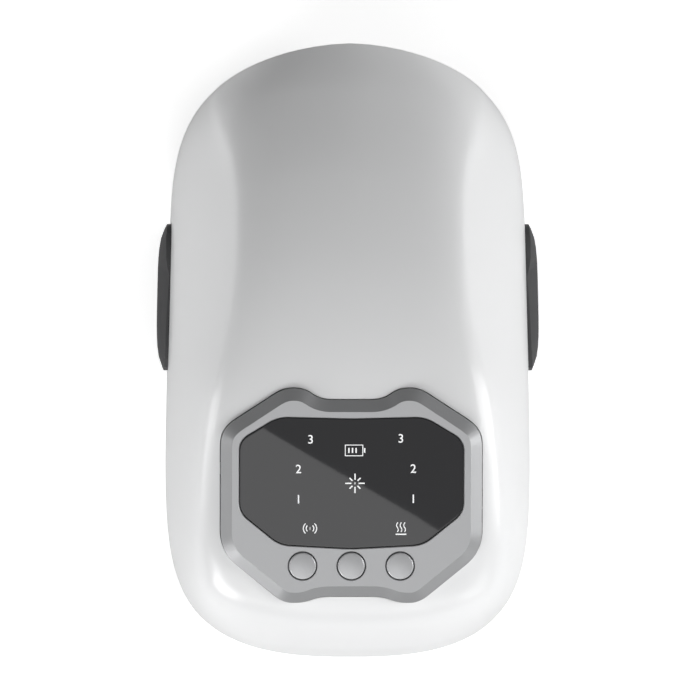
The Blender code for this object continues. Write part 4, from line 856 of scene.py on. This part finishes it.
panel_frame = outline_body([
    (panel_outline(), -PANEL_SKIRT), (panel_outline(), 0), (panel_outline(-PANEL_CHAMFER), PANEL_PROUD),
])
bevel_edges_at(panel_frame, PANEL_PROUD, FACE_EDGE, 5)
bevel_edges_at(panel_frame, 0, FRAME_EDGE, 3)
cut_with(panel_frame, outline_body([
    (panel_outline(-PANEL_WALL), -REACH), (panel_outline(-PANEL_WALL), PANEL_PROUD - PANEL_FACE),
]))
cut_with(panel_frame, outline_body([
    (window_outline(FIT), WINDOW_FLOOR), (window_outline(FIT), PANEL_PROUD - LEAD_IN),
    (window_outline(FIT + 2 * LEAD_IN), PANEL_PROUD + LEAD_IN),
]))
cut_with(panel_frame, outline_body([
    (window_outline(-WINDOW_LEDGE), -REACH), (window_outline(-WINDOW_LEDGE), REACH),
]))
for place in (-1, 0, 1):
    bore = BUTTON_RADIUS + BUTTON_GAP
    cut_with(panel_frame, round_body(place * BUTTON_PITCH, BUTTON_ROW, [
        (bore, -REACH), (bore, PANEL_PROUD - LEAD_IN), (bore + 2 * LEAD_IN, PANEL_PROUD + LEAD_IN),
    ]))
panel_frame.matrix_world = PANEL_SEAT
settle(panel_frame, "panel_frame", "shell", silver_finish, "control_panel", slot="panel_silver", angle=32)

# %% [markdown]
# The window is a polished plate with a rounded rim. The three buttons are turned caps with a flange
# under the frame and a stem over the switch, and each rides on its own body, so that it can be
# pressed.

# %% Window and buttons
WINDOW_TOP = PANEL_PROUD - WINDOW_SUNK
BUTTON_TOP = PANEL_PROUD + 0.7 * MM
BUTTON_CROWN = 0.30 * MM
BUTTON_EDGE = 0.55 * MM
FLANGE_RADIUS = 6.6 * MM
FLANGE_TOP = PANEL_PROUD - PANEL_FACE - FIT
FLANGE_THICK = 1.3 * MM
STEM_RADIUS = 1.8 * MM
STEM = 0.7 * MM

window = outline_body([
    (window_outline(), WINDOW_FLOOR + FIT), (window_outline(), WINDOW_TOP - 2 * LEAD_IN),
    (window_outline(-LEAD_IN / 2), WINDOW_TOP - LEAD_IN / 2), (window_outline(-2 * LEAD_IN), WINDOW_TOP),
])
window.matrix_world = PANEL_SEAT
settle(
    window, "window", "shell", window_finish, "display_window", slot="window_smoke", angle=50,
    flat_faces=True,
)


def button_levels():
    levels = [
        (STEM_RADIUS, FLANGE_TOP - FLANGE_THICK - STEM), (STEM_RADIUS, FLANGE_TOP - FLANGE_THICK),
        (FLANGE_RADIUS, FLANGE_TOP - FLANGE_THICK), (FLANGE_RADIUS, FLANGE_TOP), (BUTTON_RADIUS, FLANGE_TOP),
    ]
    shoulder = BUTTON_TOP - BUTTON_CROWN - BUTTON_EDGE
    for step in range(6):
        turn = math.pi / 2 * step / 5
        levels.append((
            BUTTON_RADIUS - BUTTON_EDGE * (1 - math.cos(turn)), shoulder + BUTTON_EDGE * math.sin(turn),
        ))
    for share in (0.8, 0.6, 0.4, 0.2, 0.05):
        radius = share * (BUTTON_RADIUS - BUTTON_EDGE)
        levels.append((radius, BUTTON_TOP - BUTTON_CROWN * share ** 2))
    return levels


for place, name in ((-1, "massage"), (0, "power"), (1, "heat")):
    button = round_body(place * BUTTON_PITCH, BUTTON_ROW, button_levels())
    button.matrix_world = PANEL_SEAT
    settle(
        button, f"{name}_cap", f"{name}_button", button_finish, f"{name}_button",
        slot="panel_silver", angle=40,
    )

# %% [markdown]
# The marks on the window are plain numbers for the three steps of each column, a battery, a ring of
# rays, a buzzing dot for the massage and three waves over a bar for the heat. Each is drawn flat at
# the place that its pixel in the photograph has on the window, as a text or as thin strokes, and
# is made a mesh.

# %% Marks on the window
MARK_THICK = 0.03 * MM
STROKE = 0.26 * MM
NUMBER_SIZE = 4.8 * MM
mark_parts = []


def on_window(pixel_x, pixel_y):
    """Place in the panel's own plane, on the window, that a pixel of the photograph looks at."""
    spread = SENSOR / camera_data.lens / PHOTO_PIXELS
    away = Vector(((pixel_x - PHOTO_PIXELS / 2) * spread, (PHOTO_PIXELS / 2 - pixel_y) * spread, -1))
    away.rotate(camera.rotation_euler)
    inside = PANEL_SEAT.inverted()
    start = inside @ camera.location
    direction = inside.to_3x3() @ away
    return start + direction * (WINDOW_TOP - start.z) / direction.z


def add_number(text, pixel_x, pixel_y):
    clear_selection()
    bpy.ops.object.text_add(location=on_window(pixel_x, pixel_y))
    number = bpy.context.object
    number.data.body = text
    number.data.size = NUMBER_SIZE
    number.data.align_x = "CENTER"
    number.data.align_y = "CENTER"
    number.data.extrude = MARK_THICK
    number.data.offset = STROKE / 12
    bpy.ops.object.convert(target="MESH")
    mark_parts.append(bpy.context.object)


def add_stroke(points, middle, width=STROKE, closed=False):
    """A line of one width through points in mm from the middle, pressed flat on the window."""
    curve = bpy.data.curves.new("stroke", "CURVE")
    curve.dimensions = "3D"
    curve.bevel_depth = width / 2
    curve.bevel_resolution = 2
    curve.use_fill_caps = True
    line = curve.splines.new("POLY")
    line.points.add(len(points) - 1)
    for target, (x, y) in zip(line.points, points):
        target.co = (middle.x + x * MM, middle.y + y * MM, 0, 1)
    line.use_cyclic_u = closed
    stroke = bpy.data.objects.new("stroke", curve)
    scene.collection.objects.link(stroke)
    stroke.location.z = middle.z
    stroke.scale.z = 2 * MARK_THICK / width
    activate(stroke)
    bpy.ops.object.convert(target="MESH")
    bpy.ops.object.transform_apply(location=True, rotation=True, scale=True)
    mark_parts.append(bpy.context.object)


def arc(radius, start, end, steps=10):
    turns = [math.radians(start + (end - start) * step / steps) for step in range(steps + 1)]
    return [(radius * math.cos(turn), radius * math.sin(turn)) for turn in turns]


for text, left, right in (
    ("3", (310.6, 439.8), (400.9, 438.9)), ("2", (298.5, 469.5), (413.3, 469.1)),
    ("1", (298.5, 499.7), (413.3, 499.3)),
):
    add_number(text, *left)
    add_number(text, *right)

battery = on_window(354.3, 450.4)
add_stroke([(-3.5, -2.1), (3.3, -2.1), (3.3, 2.1), (-3.5, 2.1)], battery, 0.45 * MM, closed=True)
add_stroke([(4.0, -0.9), (4.0, 0.9)], battery, 0.6 * MM)
for column in (-2.1, -0.7, 0.7):
    add_stroke([(column, -1.0), (column, 1.0)], battery, 0.55 * MM)

rays = on_window(355, 483.3)
add_stroke([(-0.15, 0), (0.15, 0)], rays, 0.85 * MM)
for turn in range(8):
    way = Vector((math.cos(math.pi / 4 * turn), math.sin(math.pi / 4 * turn)))
    outer = 3.8 if turn % 2 == 0 else 3.0
    add_stroke([tuple(way * 1.4), tuple(way * outer)], rays, 0.5 * MM)

massage = on_window(310, 528.4)
add_stroke([(-0.1, 0), (0.1, 0)], massage, 1.1 * MM)
for side in (0, 180):
    for radius in (1.5, 2.6):
        add_stroke(arc(radius, side - 48, side + 48), massage, 0.38 * MM)

heat = on_window(401, 528.4)
add_stroke([(-2.1, -2.3), (2.1, -2.3)], heat, 0.5 * MM)
for column in (-1.4, 0, 1.4):
    wave = [(column + 0.35 * math.sin(step * 0.75), -1.4 + step * 0.42) for step in range(10)]
    add_stroke(wave, heat, 0.36 * MM)

clear_selection()
for part in mark_parts:
    part.select_set(True)
bpy.context.view_layer.objects.active = mark_parts[0]
bpy.ops.object.join()
marks = bpy.context.object
activate(marks)
bpy.ops.object.transform_apply(location=True, rotation=True, scale=True)
marks.matrix_world = PANEL_SEAT
# The print has a faint painted glow: a weak white emission, though the marks are no lamp.
print_glow_finish = moulded(
    "window_print_and_painted_glow", (0.86, 0.87, 0.88), 0.45, tone=0.03,
    Emission_Color=(1, 1, 1, 1), Emission_Strength=0.25,
)
settle(marks, "window_marks", "shell", print_glow_finish, slot="guide_white")

# %% [markdown]
# The wings and the port have the right shape already. A copy of each is merged, its edges are
# rounded a little, and its faces turn smooth, because a moulded edge is never sharp.

# %% Rounded copies
MERGE = 0.005 * MM


def node_copy(name):
    """A merged copy of a node's mesh, as a new object."""
    clear_selection()
    piece = bpy.data.objects.new(name + "_copy", NODES[name].data.copy())
    scene.collection.objects.link(piece)
    activate(piece)
    bpy.ops.object.mode_set(mode="EDIT")
    bpy.ops.mesh.select_all(action="SELECT")
    bpy.ops.mesh.remove_doubles(threshold=MERGE)
    bpy.ops.mesh.tris_convert_to_quads(face_threshold=math.radians(25), shape_threshold=math.radians(60))
    bpy.ops.object.mode_set(mode="OBJECT")
    return piece


def rounded_copy(name, new_name, finish, slot, edge, angle=30):
    """Rounds the edges of a node's copy and lets it replace the node."""
    piece = node_copy(name)
    run_modifier(
        piece, "BEVEL", width=edge, segments=2, limit_method="ANGLE", angle_limit=math.radians(angle)
    )
    return settle(piece, new_name, "shell", finish, name, slot=slot, angle=angle)


WING_EDGE = 0.5 * MM
PORT_EDGE = 0.08 * MM
for side in ("left", "right"):
    rounded_copy(f"strap_ear_{side}", f"wing_{side}", wing_finish, "wing_rubber", WING_EDGE)
rounded_copy("charging_port", "port", steel_finish, "steel", PORT_EDGE)

# %% [markdown]
# The liner is a quilted pad. Its front, towards the knee, is blown up a little by a short cloth
# simulation, while its back, its rim and its sewn channels are held. Cloth has a weave, and the
# weave follows the surface, so a small map of lengths round the arch and along it is kept on the
# mesh. The same weave, coarser, makes the strap's webbing.

# %% Weave group and cloth finishes
def build_weave_group():
    """Plain weave from a map in metres: threads across and along cross over and under, with painted shade
    where they lie low.
    """
    group, start, end = make_group(
        "plain_weave",
        [("Map", "NodeSocketVector", None), ("Across", "NodeSocketFloat", 1400),
         ("Along", "NodeSocketFloat", 1400)],
        [("Height", "NodeSocketFloat"), ("Painted_shade", "NodeSocketFloat")],
    )
    split = group.nodes.new("ShaderNodeSeparateXYZ")
    group.links.new(start.outputs["Map"], split.inputs[0])
    waves = []
    for axis, count in (("X", "Across"), ("Y", "Along")):
        scaled = add_node(group, "ShaderNodeMath", operation="MULTIPLY")
        group.links.new(split.outputs[axis], scaled.inputs[0])
        group.links.new(start.outputs[count], scaled.inputs[1])
        turned = add_node(group, "ShaderNodeMath", operation="MULTIPLY")
        turned.inputs[1].default_value = math.pi
        group.links.new(scaled.outputs[0], turned.inputs[0])
        wave = add_node(group, "ShaderNodeMath", operation="SINE")
        group.links.new(turned.outputs[0], wave.inputs[0])
        waves.append(wave)
    crossed = add_node(group, "ShaderNodeMath", operation="MULTIPLY")
    group.links.new(waves[0].outputs[0], crossed.inputs[0])
    group.links.new(waves[1].outputs[0], crossed.inputs[1])
    group.links.new(crossed.outputs[0], end.inputs["Height"])
    # Painted shade: the colour scale follows the height, darker where the weave lies low.
    shade = add_node(group, "ShaderNodeMath", operation="MULTIPLY_ADD")
    shade.inputs[1].default_value = 0.25
    shade.inputs[2].default_value = 0.85
    group.links.new(crossed.outputs[0], shade.inputs[0])
    group.links.new(shade.outputs[0], end.inputs["Painted_shade"])
    return group


WEAVE = build_weave_group()
CLOTH_MAP = "cloth_map"


def woven(name, color, across, along, depth, **plain):
    material, tree, shader = new_finish(name, color, 0.9, **plain)
    place = add_node(tree, "ShaderNodeUVMap", uv_map=CLOTH_MAP)
    weave = tree.nodes.new("ShaderNodeGroup")
    weave.node_tree = WEAVE
    weave.inputs["Across"].default_value = across
    weave.inputs["Along"].default_value = along
    tree.links.new(place.outputs["UV"], weave.inputs["Map"])
    slow = add_group(tree, TONE, Color=(*color, 1), Scale=60, Amount=0.18, Roughness=0.9, Spread=0.05)
    # The slow tone is scaled by the weave's painted shade, which darkens the dips between threads.
    shaded_tone = add_node(tree, "ShaderNodeVectorMath", operation="SCALE")
    tree.links.new(slow.outputs["Color"], shaded_tone.inputs[0])
    tree.links.new(weave.outputs["Painted_shade"], shaded_tone.inputs["Scale"])
    tree.links.new(shaded_tone.outputs[0], shader.inputs["Base Color"])
    tree.links.new(slow.outputs["Roughness"], shader.inputs["Roughness"])
    add_bump(tree, shader, weave.outputs["Height"], depth * MM)
    return material


def map_cloth(piece, place):
    """Writes the cloth map: place gives lengths across and along, in metres, for a point."""
    layer = piece.data.uv_layers.new(name=CLOTH_MAP)
    for loop in piece.data.loops:
        layer.data[loop.index].uv = place(piece.data.vertices[loop.vertex_index].co)


liner_cloth = woven("liner_cloth", (0.060, 0.060, 0.066), 1500, 1500, 0.08, Sheen_Weight=0.35)
strap_webbing = woven("strap_webbing", (0.036, 0.036, 0.039), 520, 1300, 0.25, Sheen_Weight=0.15)
print("cloth finishes", liner_cloth.name, strap_webbing.name)

# %% Knee liner
LINER_CHANNELS = 6
LINER_ALONG_SHARE = 0.93
CHANNEL_SHARE = 0.30
ARCH_INSET = 3.8 * MM
ARCH_RADIUS = 52 * MM
KNEE_HEIGHT = 20 * MM
PAD_SWELL = 0.9 * MM
PAD_FRAMES = 12
CHANNEL_DEPTH = 0.9 * MM
CHANNEL_SHARPNESS = 26


def along_share(place):
    """Share along the liner, from -1 to 1, of a point on it."""
    out = min(abs(place.x) / (THIGH_WIDTH / 2 - ARCH_INSET), 1)
    reach = end_reach(math.copysign(1, place.y), out) - ARCH_INSET
    return place.y / reach / LINER_ALONG_SHARE


def faces_knee(vertex):
    inward = Vector((-vertex.co.x, 0, KNEE_HEIGHT - vertex.co.z))
    return vertex.normal.dot(inward.normalized()) > 0.5


def is_held(vertex):
    share = along_share(vertex.co)
    sewn = abs(math.sin(math.pi * LINER_CHANNELS * (share + 1) / 2)) < CHANNEL_SHARE
    return sewn or not faces_knee(vertex) or abs(share) > 0.95


def swell_pad(piece, held, amount):
    """Blows the free part of a pad up by a short cloth simulation, and caps how far it moves."""
    group = piece.vertex_groups.new(name="held")
    group.add([vertex.index for vertex in piece.data.vertices if held(vertex)], 1, "REPLACE")
    start = [vertex.co.copy() for vertex in piece.data.vertices]
    activate(piece)
    modifier = piece.modifiers.new("cloth", "CLOTH")
    cloth = modifier.settings
    cloth.vertex_group_mass = "held"
    cloth.use_pressure = True
    cloth.uniform_pressure_force = 4
    cloth.quality = 5
    cloth.effector_weights.gravity = 0
    modifier.point_cache.frame_start = 1
    modifier.point_cache.frame_end = PAD_FRAMES
    for frame_number in range(1, PAD_FRAMES + 1):
        scene.frame_set(frame_number)
    bpy.ops.object.modifier_apply(modifier="cloth")
    for vertex, place in zip(piece.data.vertices, start):
        move = vertex.co - place
        if move.length > amount:
            vertex.co = place + move * (amount / move.length)
    scene.frame_set(1)


def sew_channels(piece):
    """Pulls the knee side in along the sewn lines, in a groove with soft shoulders."""
    moves = []
    for vertex in piece.data.vertices:
        share = along_share(vertex.co)
        if faces_knee(vertex) and abs(share) < 0.9:
            wave = abs(math.sin(math.pi * LINER_CHANNELS * (share + 1) / 2))
            depth = CHANNEL_DEPTH * math.exp(-CHANNEL_SHARPNESS * wave * wave)
            moves.append((vertex.index, vertex.normal * depth))
    for index, move in moves:
        piece.data.vertices[index].co -= move


liner = node_copy("knee_liner")
run_modifier(liner, "SUBSURF", levels=1, render_levels=1)
swell_pad(liner, is_held, PAD_SWELL)
run_modifier(liner, "SUBSURF", levels=2, render_levels=2)
print("liner points", len(liner.data.vertices))
sew_channels(liner)
map_cloth(liner, lambda place: (math.atan2(place.x, place.z - KNEE_HEIGHT) * ARCH_RADIUS, place.y))
settle(liner, "liner_pad", "shell", liner_cloth, "knee_liner", slot="liner_cloth", angle=80)

# %% [markdown]
# The air bags lie behind the liner. They are welded film, so their skin puckers towards the seam.

# %% Air bags
PUCKER = 0.25 * MM
PUCKER_WAVES = 520
bag_finish = moulded("bag_film", (0.30, 0.31, 0.33), 0.32, tone=0.06, grain=500, depth=0.02, Coat_Weight=0.3)

for side in ("left", "right"):
    bag = node_copy(f"airbag_{side}")
    run_modifier(bag, "SUBSURF", levels=2, render_levels=2)
    low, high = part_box(f"airbag_{side}")
    moves = []
    for vertex in bag.data.vertices:
        edge = abs(2 * (vertex.co.y - low.y) / (high.y - low.y) - 1) ** 4
        dent = PUCKER * edge * (0.5 + 0.5 * math.sin(vertex.co.z * PUCKER_WAVES))
        moves.append(vertex.normal * dent)
    for vertex, move in zip(bag.data.vertices, moves):
        vertex.co -= move
    settle(bag, f"air_bag_{side}", "shell", bag_finish, f"airbag_{side}", slot="bag_film", angle=80)

# %% [markdown]
# Each strap is one flat band of webbing. It leaves the wing downwards, turns in a small bend, and
# runs under the knee, where the right half rises over the left one in an easy curve. Its edges are
# round, and a frame of stitches holds its end.

# %% Straps
STRAP_WIDTH = 50 * MM
STRAP_THICK = 2 * MM
STRAP_MIDDLE = 21.7 * MM
STRAP_START = 6.9 * MM
STRAP_BEND = 4 * MM
STRAP_LEVEL = 1.3 * MM
STRAP_UPPER = STRAP_LEVEL + STRAP_THICK + 1.4 * MM
HALF_OVERLAP = 22 * MM
STRAP_RAMP = 20 * MM
STRAP_RIPPLE = 0.12 * MM
EDGE_PROFILE = [(1, 0), (0.985, 0.55), (0.955, 0.86), (0.91, 1), (0.5, 0.96), (0, 0.95)]
STITCH_LENGTH = 2.2 * MM
STITCH_GAP = 3.4 * MM
STITCH_INSET = 4 * MM
STITCH_END = 3 * MM


def strap_path(final):
    """Places along the strap, as distance out and height, from the wing to the end."""
    out = outline_half(STRAP_MIDDLE) - 1 * MM
    path = [(out, STRAP_START)]
    for step in range(13):
        turn = math.pi / 2 * step / 12
        path.append((
            out - STRAP_BEND + STRAP_BEND * math.cos(turn),
            STRAP_LEVEL + STRAP_BEND - STRAP_BEND * math.sin(turn),
        ))
    bend_end = out - STRAP_BEND
    for step in range(1, 61):
        place = bend_end + (-HALF_OVERLAP - bend_end) * step / 60
        rise = smooth_step((HALF_OVERLAP + STRAP_RAMP - place) / STRAP_RAMP)
        free = smooth_step((place - HALF_OVERLAP - 2 * MM) / (15 * MM))
        free *= smooth_step((bend_end - place) / (10 * MM))
        ripple = STRAP_RIPPLE * free * math.sin(place * 420)
        path.append((place, STRAP_LEVEL + (final - STRAP_LEVEL) * rise + ripple))
    return path


def band_body(path, side):
    """A closed band along a path, with the rounded edge of woven webbing."""
    top = [(share, lift) for share, lift in reversed(EDGE_PROFILE)]
    around = list(EDGE_PROFILE)
    around += [(-share, lift) for share, lift in top[1:]]
    around += [(-share, -lift) for share, lift in EDGE_PROFILE[1:]]
    around += [(share, -lift) for share, lift in top[1:-1]]
    body = bmesh.new()
    rings = []
    for index, (out, height) in enumerate(path):
        before = path[max(index - 1, 0)]
        after = path[min(index + 1, len(path) - 1)]
        way = Vector((after[0] - before[0], after[1] - before[1])).normalized()
        ring = []
        for share, lift in around:
            x = out + way.y * lift * STRAP_THICK / 2
            z = height - way.x * lift * STRAP_THICK / 2
            y = STRAP_MIDDLE + share * STRAP_WIDTH / 2
            ring.append(body.verts.new((side * x, y, z)))
        rings.append(ring)
    for low, high in zip(rings, rings[1:]):
        for index in range(len(low)):
            after = (index + 1) % len(low)
            body.faces.new((low[index], low[after], high[after], high[index]))
    body.faces.new(rings[0])
    body.faces.new(list(reversed(rings[-1])))
    bmesh.ops.recalc_face_normals(body, faces=body.faces)
    return body


def add_stitches(name, places, height):
    """Small thread loops, each a slim rounded bar, at places given as x, y and direction."""
    made = bmesh.new()
    for x, y, turn in places:
        shape = Matrix.Translation((x, y, height)) @ Matrix.Rotation(turn, 4, "Z")
        shape = shape @ Matrix.Diagonal((STITCH_LENGTH / 2, 0.28 * MM, 0.22 * MM, 1))
        bmesh.ops.create_uvsphere(made, u_segments=8, v_segments=6, radius=1, matrix=shape)
    mesh = bpy.data.meshes.new(name)
    made.to_mesh(mesh)
    made.free()
    piece = bpy.data.objects.new(name, mesh)
    scene.collection.objects.link(piece)
    return piece


def stitch_frame(low, high):
    """Places of the stitches round a rectangle in x, over the strap's width."""
    bottom = STRAP_MIDDLE - STRAP_WIDTH / 2 + STITCH_INSET
    top = STRAP_MIDDLE + STRAP_WIDTH / 2 - STITCH_INSET
    places = []
    count = int((high - low) / STITCH_GAP)
    for step in range(count + 1):
        x = low + (high - low) * step / count
        places += [(x, bottom, 0.0), (x, top, 0.0)]
    count = int((top - bottom) / STITCH_GAP)
    for step in range(1, count):
        y = bottom + (top - bottom) * step / count
        places += [(low, y, math.pi / 2), (high, y, math.pi / 2)]
    return places


thread_finish = moulded("thread_grey", (0.10, 0.10, 0.11), 0.7, tone=0.1, grain=3000, depth=0.01)
for side, name, final in ((-1, "left", STRAP_LEVEL), (1, "right", STRAP_UPPER)):
    path = strap_path(final)
    mesh = bpy.data.meshes.new(f"strap_{name}_band")
    body = band_body(path, side)
    body.to_mesh(mesh)
    body.free()
    strap = bpy.data.objects.new(f"strap_{name}_band", mesh)
    scene.collection.objects.link(strap)
    map_cloth(strap, lambda place: (place.y, abs(place.x - side * 0.08) + abs(place.z)))
    settle(strap, f"webbing_{name}", "shell", strap_webbing, f"strap_{name}", slot="strap_cloth", angle=60)
    surface = final + STRAP_THICK / 2 * 0.97
    if name == "right":
        edge = HALF_OVERLAP - STITCH_END
        stitches = add_stitches("stitch_row", stitch_frame(-edge, edge), surface)
        settle(stitches, "stitches_right", "shell", thread_finish, slot="strap_cloth", angle=80)

patch = node_copy("hook_patch")
run_modifier(patch, "BEVEL", width=0.25 * MM, segments=2)
map_cloth(patch, lambda place: (place.y, place.x))
hook_tape = woven("hook_tape", (0.030, 0.030, 0.032), 900, 900, 0.3)
settle(patch, "hook_tape", "shell", hook_tape, "hook_patch", slot="graphite_plastic", angle=30)

# %% [markdown]
# The massager lies on a white table in soft light. The table shows white to the camera and still
# takes the shadow. Most light comes from the two sides and the two corners at the shin end, so the
# flanks and the panel are bright, and the crown and the thigh slope stay grey. The levels were
# fitted so that the greys of the hood match the photograph.

# %% Floor and lights
FLOOR_SIDE = 30.0
bpy.ops.object.select_all(action="DESELECT")
bpy.ops.mesh.primitive_plane_add(size=FLOOR_SIDE, location=(0, 0, -0.2 * MM))
floor = bpy.context.object
floor.name = "table_top"
floor_material = bpy.data.materials.new("table_white")
floor_material.use_nodes = True
floor_tree = floor_material.node_tree
floor_shader = floor_tree.nodes["Principled BSDF"]
floor_shader.inputs["Base Color"].default_value = (0.85, 0.85, 0.85, 1)
floor_shader.inputs["Roughness"].default_value = 0.8
floor_shader.inputs["Emission Color"].default_value = (1, 1, 1, 1)
floor_path = floor_tree.nodes.new("ShaderNodeLightPath")
floor_glow = add_node(floor_tree, "ShaderNodeMath", operation="MULTIPLY")
floor_glow.inputs[1].default_value = 0.6
floor_tree.links.new(floor_path.outputs["Is Camera Ray"], floor_glow.inputs[0])
floor_tree.links.new(floor_glow.outputs[0], floor_shader.inputs["Emission Strength"])
floor.data.materials.append(floor_material)

world = bpy.data.worlds.new("soft_room")
scene.world = world
world.use_nodes = True
world_tree = world.node_tree
room = world_tree.nodes["Background"]
room.inputs["Color"].default_value = (1, 1, 1, 1)
path = world_tree.nodes.new("ShaderNodeLightPath")
strength = add_node(world_tree, "ShaderNodeMix", data_type="FLOAT")
strength.inputs[2].default_value = 0.08
strength.inputs[3].default_value = 1.0
world_tree.links.new(path.outputs["Is Camera Ray"], strength.inputs[0])
world_tree.links.new(strength.outputs[0], room.inputs["Strength"])


def add_area_light(name, place, aim, wide, tall, watts):
    data = bpy.data.lights.new(name, "AREA")
    data.shape = "RECTANGLE"
    data.size = wide
    data.size_y = tall
    data.energy = watts
    lamp = bpy.data.objects.new(name, data)
    scene.collection.objects.link(lamp)
    lamp.location = place
    lamp.rotation_euler = (Vector(place) - Vector(aim)).to_track_quat("Z", "Y").to_euler()
    return lamp


AIM = (0, 0, 60 * MM)
add_area_light("shin_end_light", (0.0, -1.6, 1.25), AIM, 1.6, 0.9, 7)
add_area_light("right_side_light", (1.7, 0.0, 0.9), AIM, 0.8, 1.6, 26.5)
add_area_light("left_side_light", (-1.95, 0.0, 0.45), AIM, 0.6, 1.6, 12.5)
add_area_light("right_corner_light", (1.3, -1.4, 0.8), AIM, 0.8, 0.8, 4.5)
add_area_light("left_corner_light", (-1.3, -1.4, 0.8), AIM, 0.8, 0.8, 17)

# %% [markdown]
# The window mirrors a lamp whose straight edge crosses it from the upper left to the lower right.
# The two ends of that edge on the window are two pixels of the photograph. The camera's look at each
# is mirrored by the window's plane, and the lamp's edge is laid through the two mirrored points.

# %% Mirrored lamp
EDGE_PIXELS = ((265, 428), (440, 531.7))
CARD_DISTANCE = 1.9
CARD_SIDE = 1.1
CARD_WATTS = 5.8
window_normal = PANEL_SEAT.to_3x3() @ Vector((0, 0, 1))


def mirrored_point(pixel_x, pixel_y):
    place = PANEL_SEAT @ on_window(pixel_x, pixel_y)
    look = (place - camera.location).normalized()
    bounce = look - 2 * look.dot(window_normal) * window_normal
    return place + bounce * CARD_DISTANCE, bounce


edge_start, way_back = mirrored_point(*EDGE_PIXELS[0])
edge_end, _ = mirrored_point(*EDGE_PIXELS[1])
along_edge = (edge_end - edge_start).normalized()
back = (way_back - way_back.dot(along_edge) * along_edge).normalized()
outward = back.cross(along_edge)
if outward.y > 0:
    outward = -outward
middle = (edge_start + edge_end) / 2 + outward * CARD_SIDE / 2
card = add_area_light("mirrored_lamp", middle, middle - back, CARD_SIDE, CARD_SIDE, CARD_WATTS)
turned = Matrix((along_edge, back.cross(along_edge), back)).transposed()
card.rotation_euler = turned.to_euler()
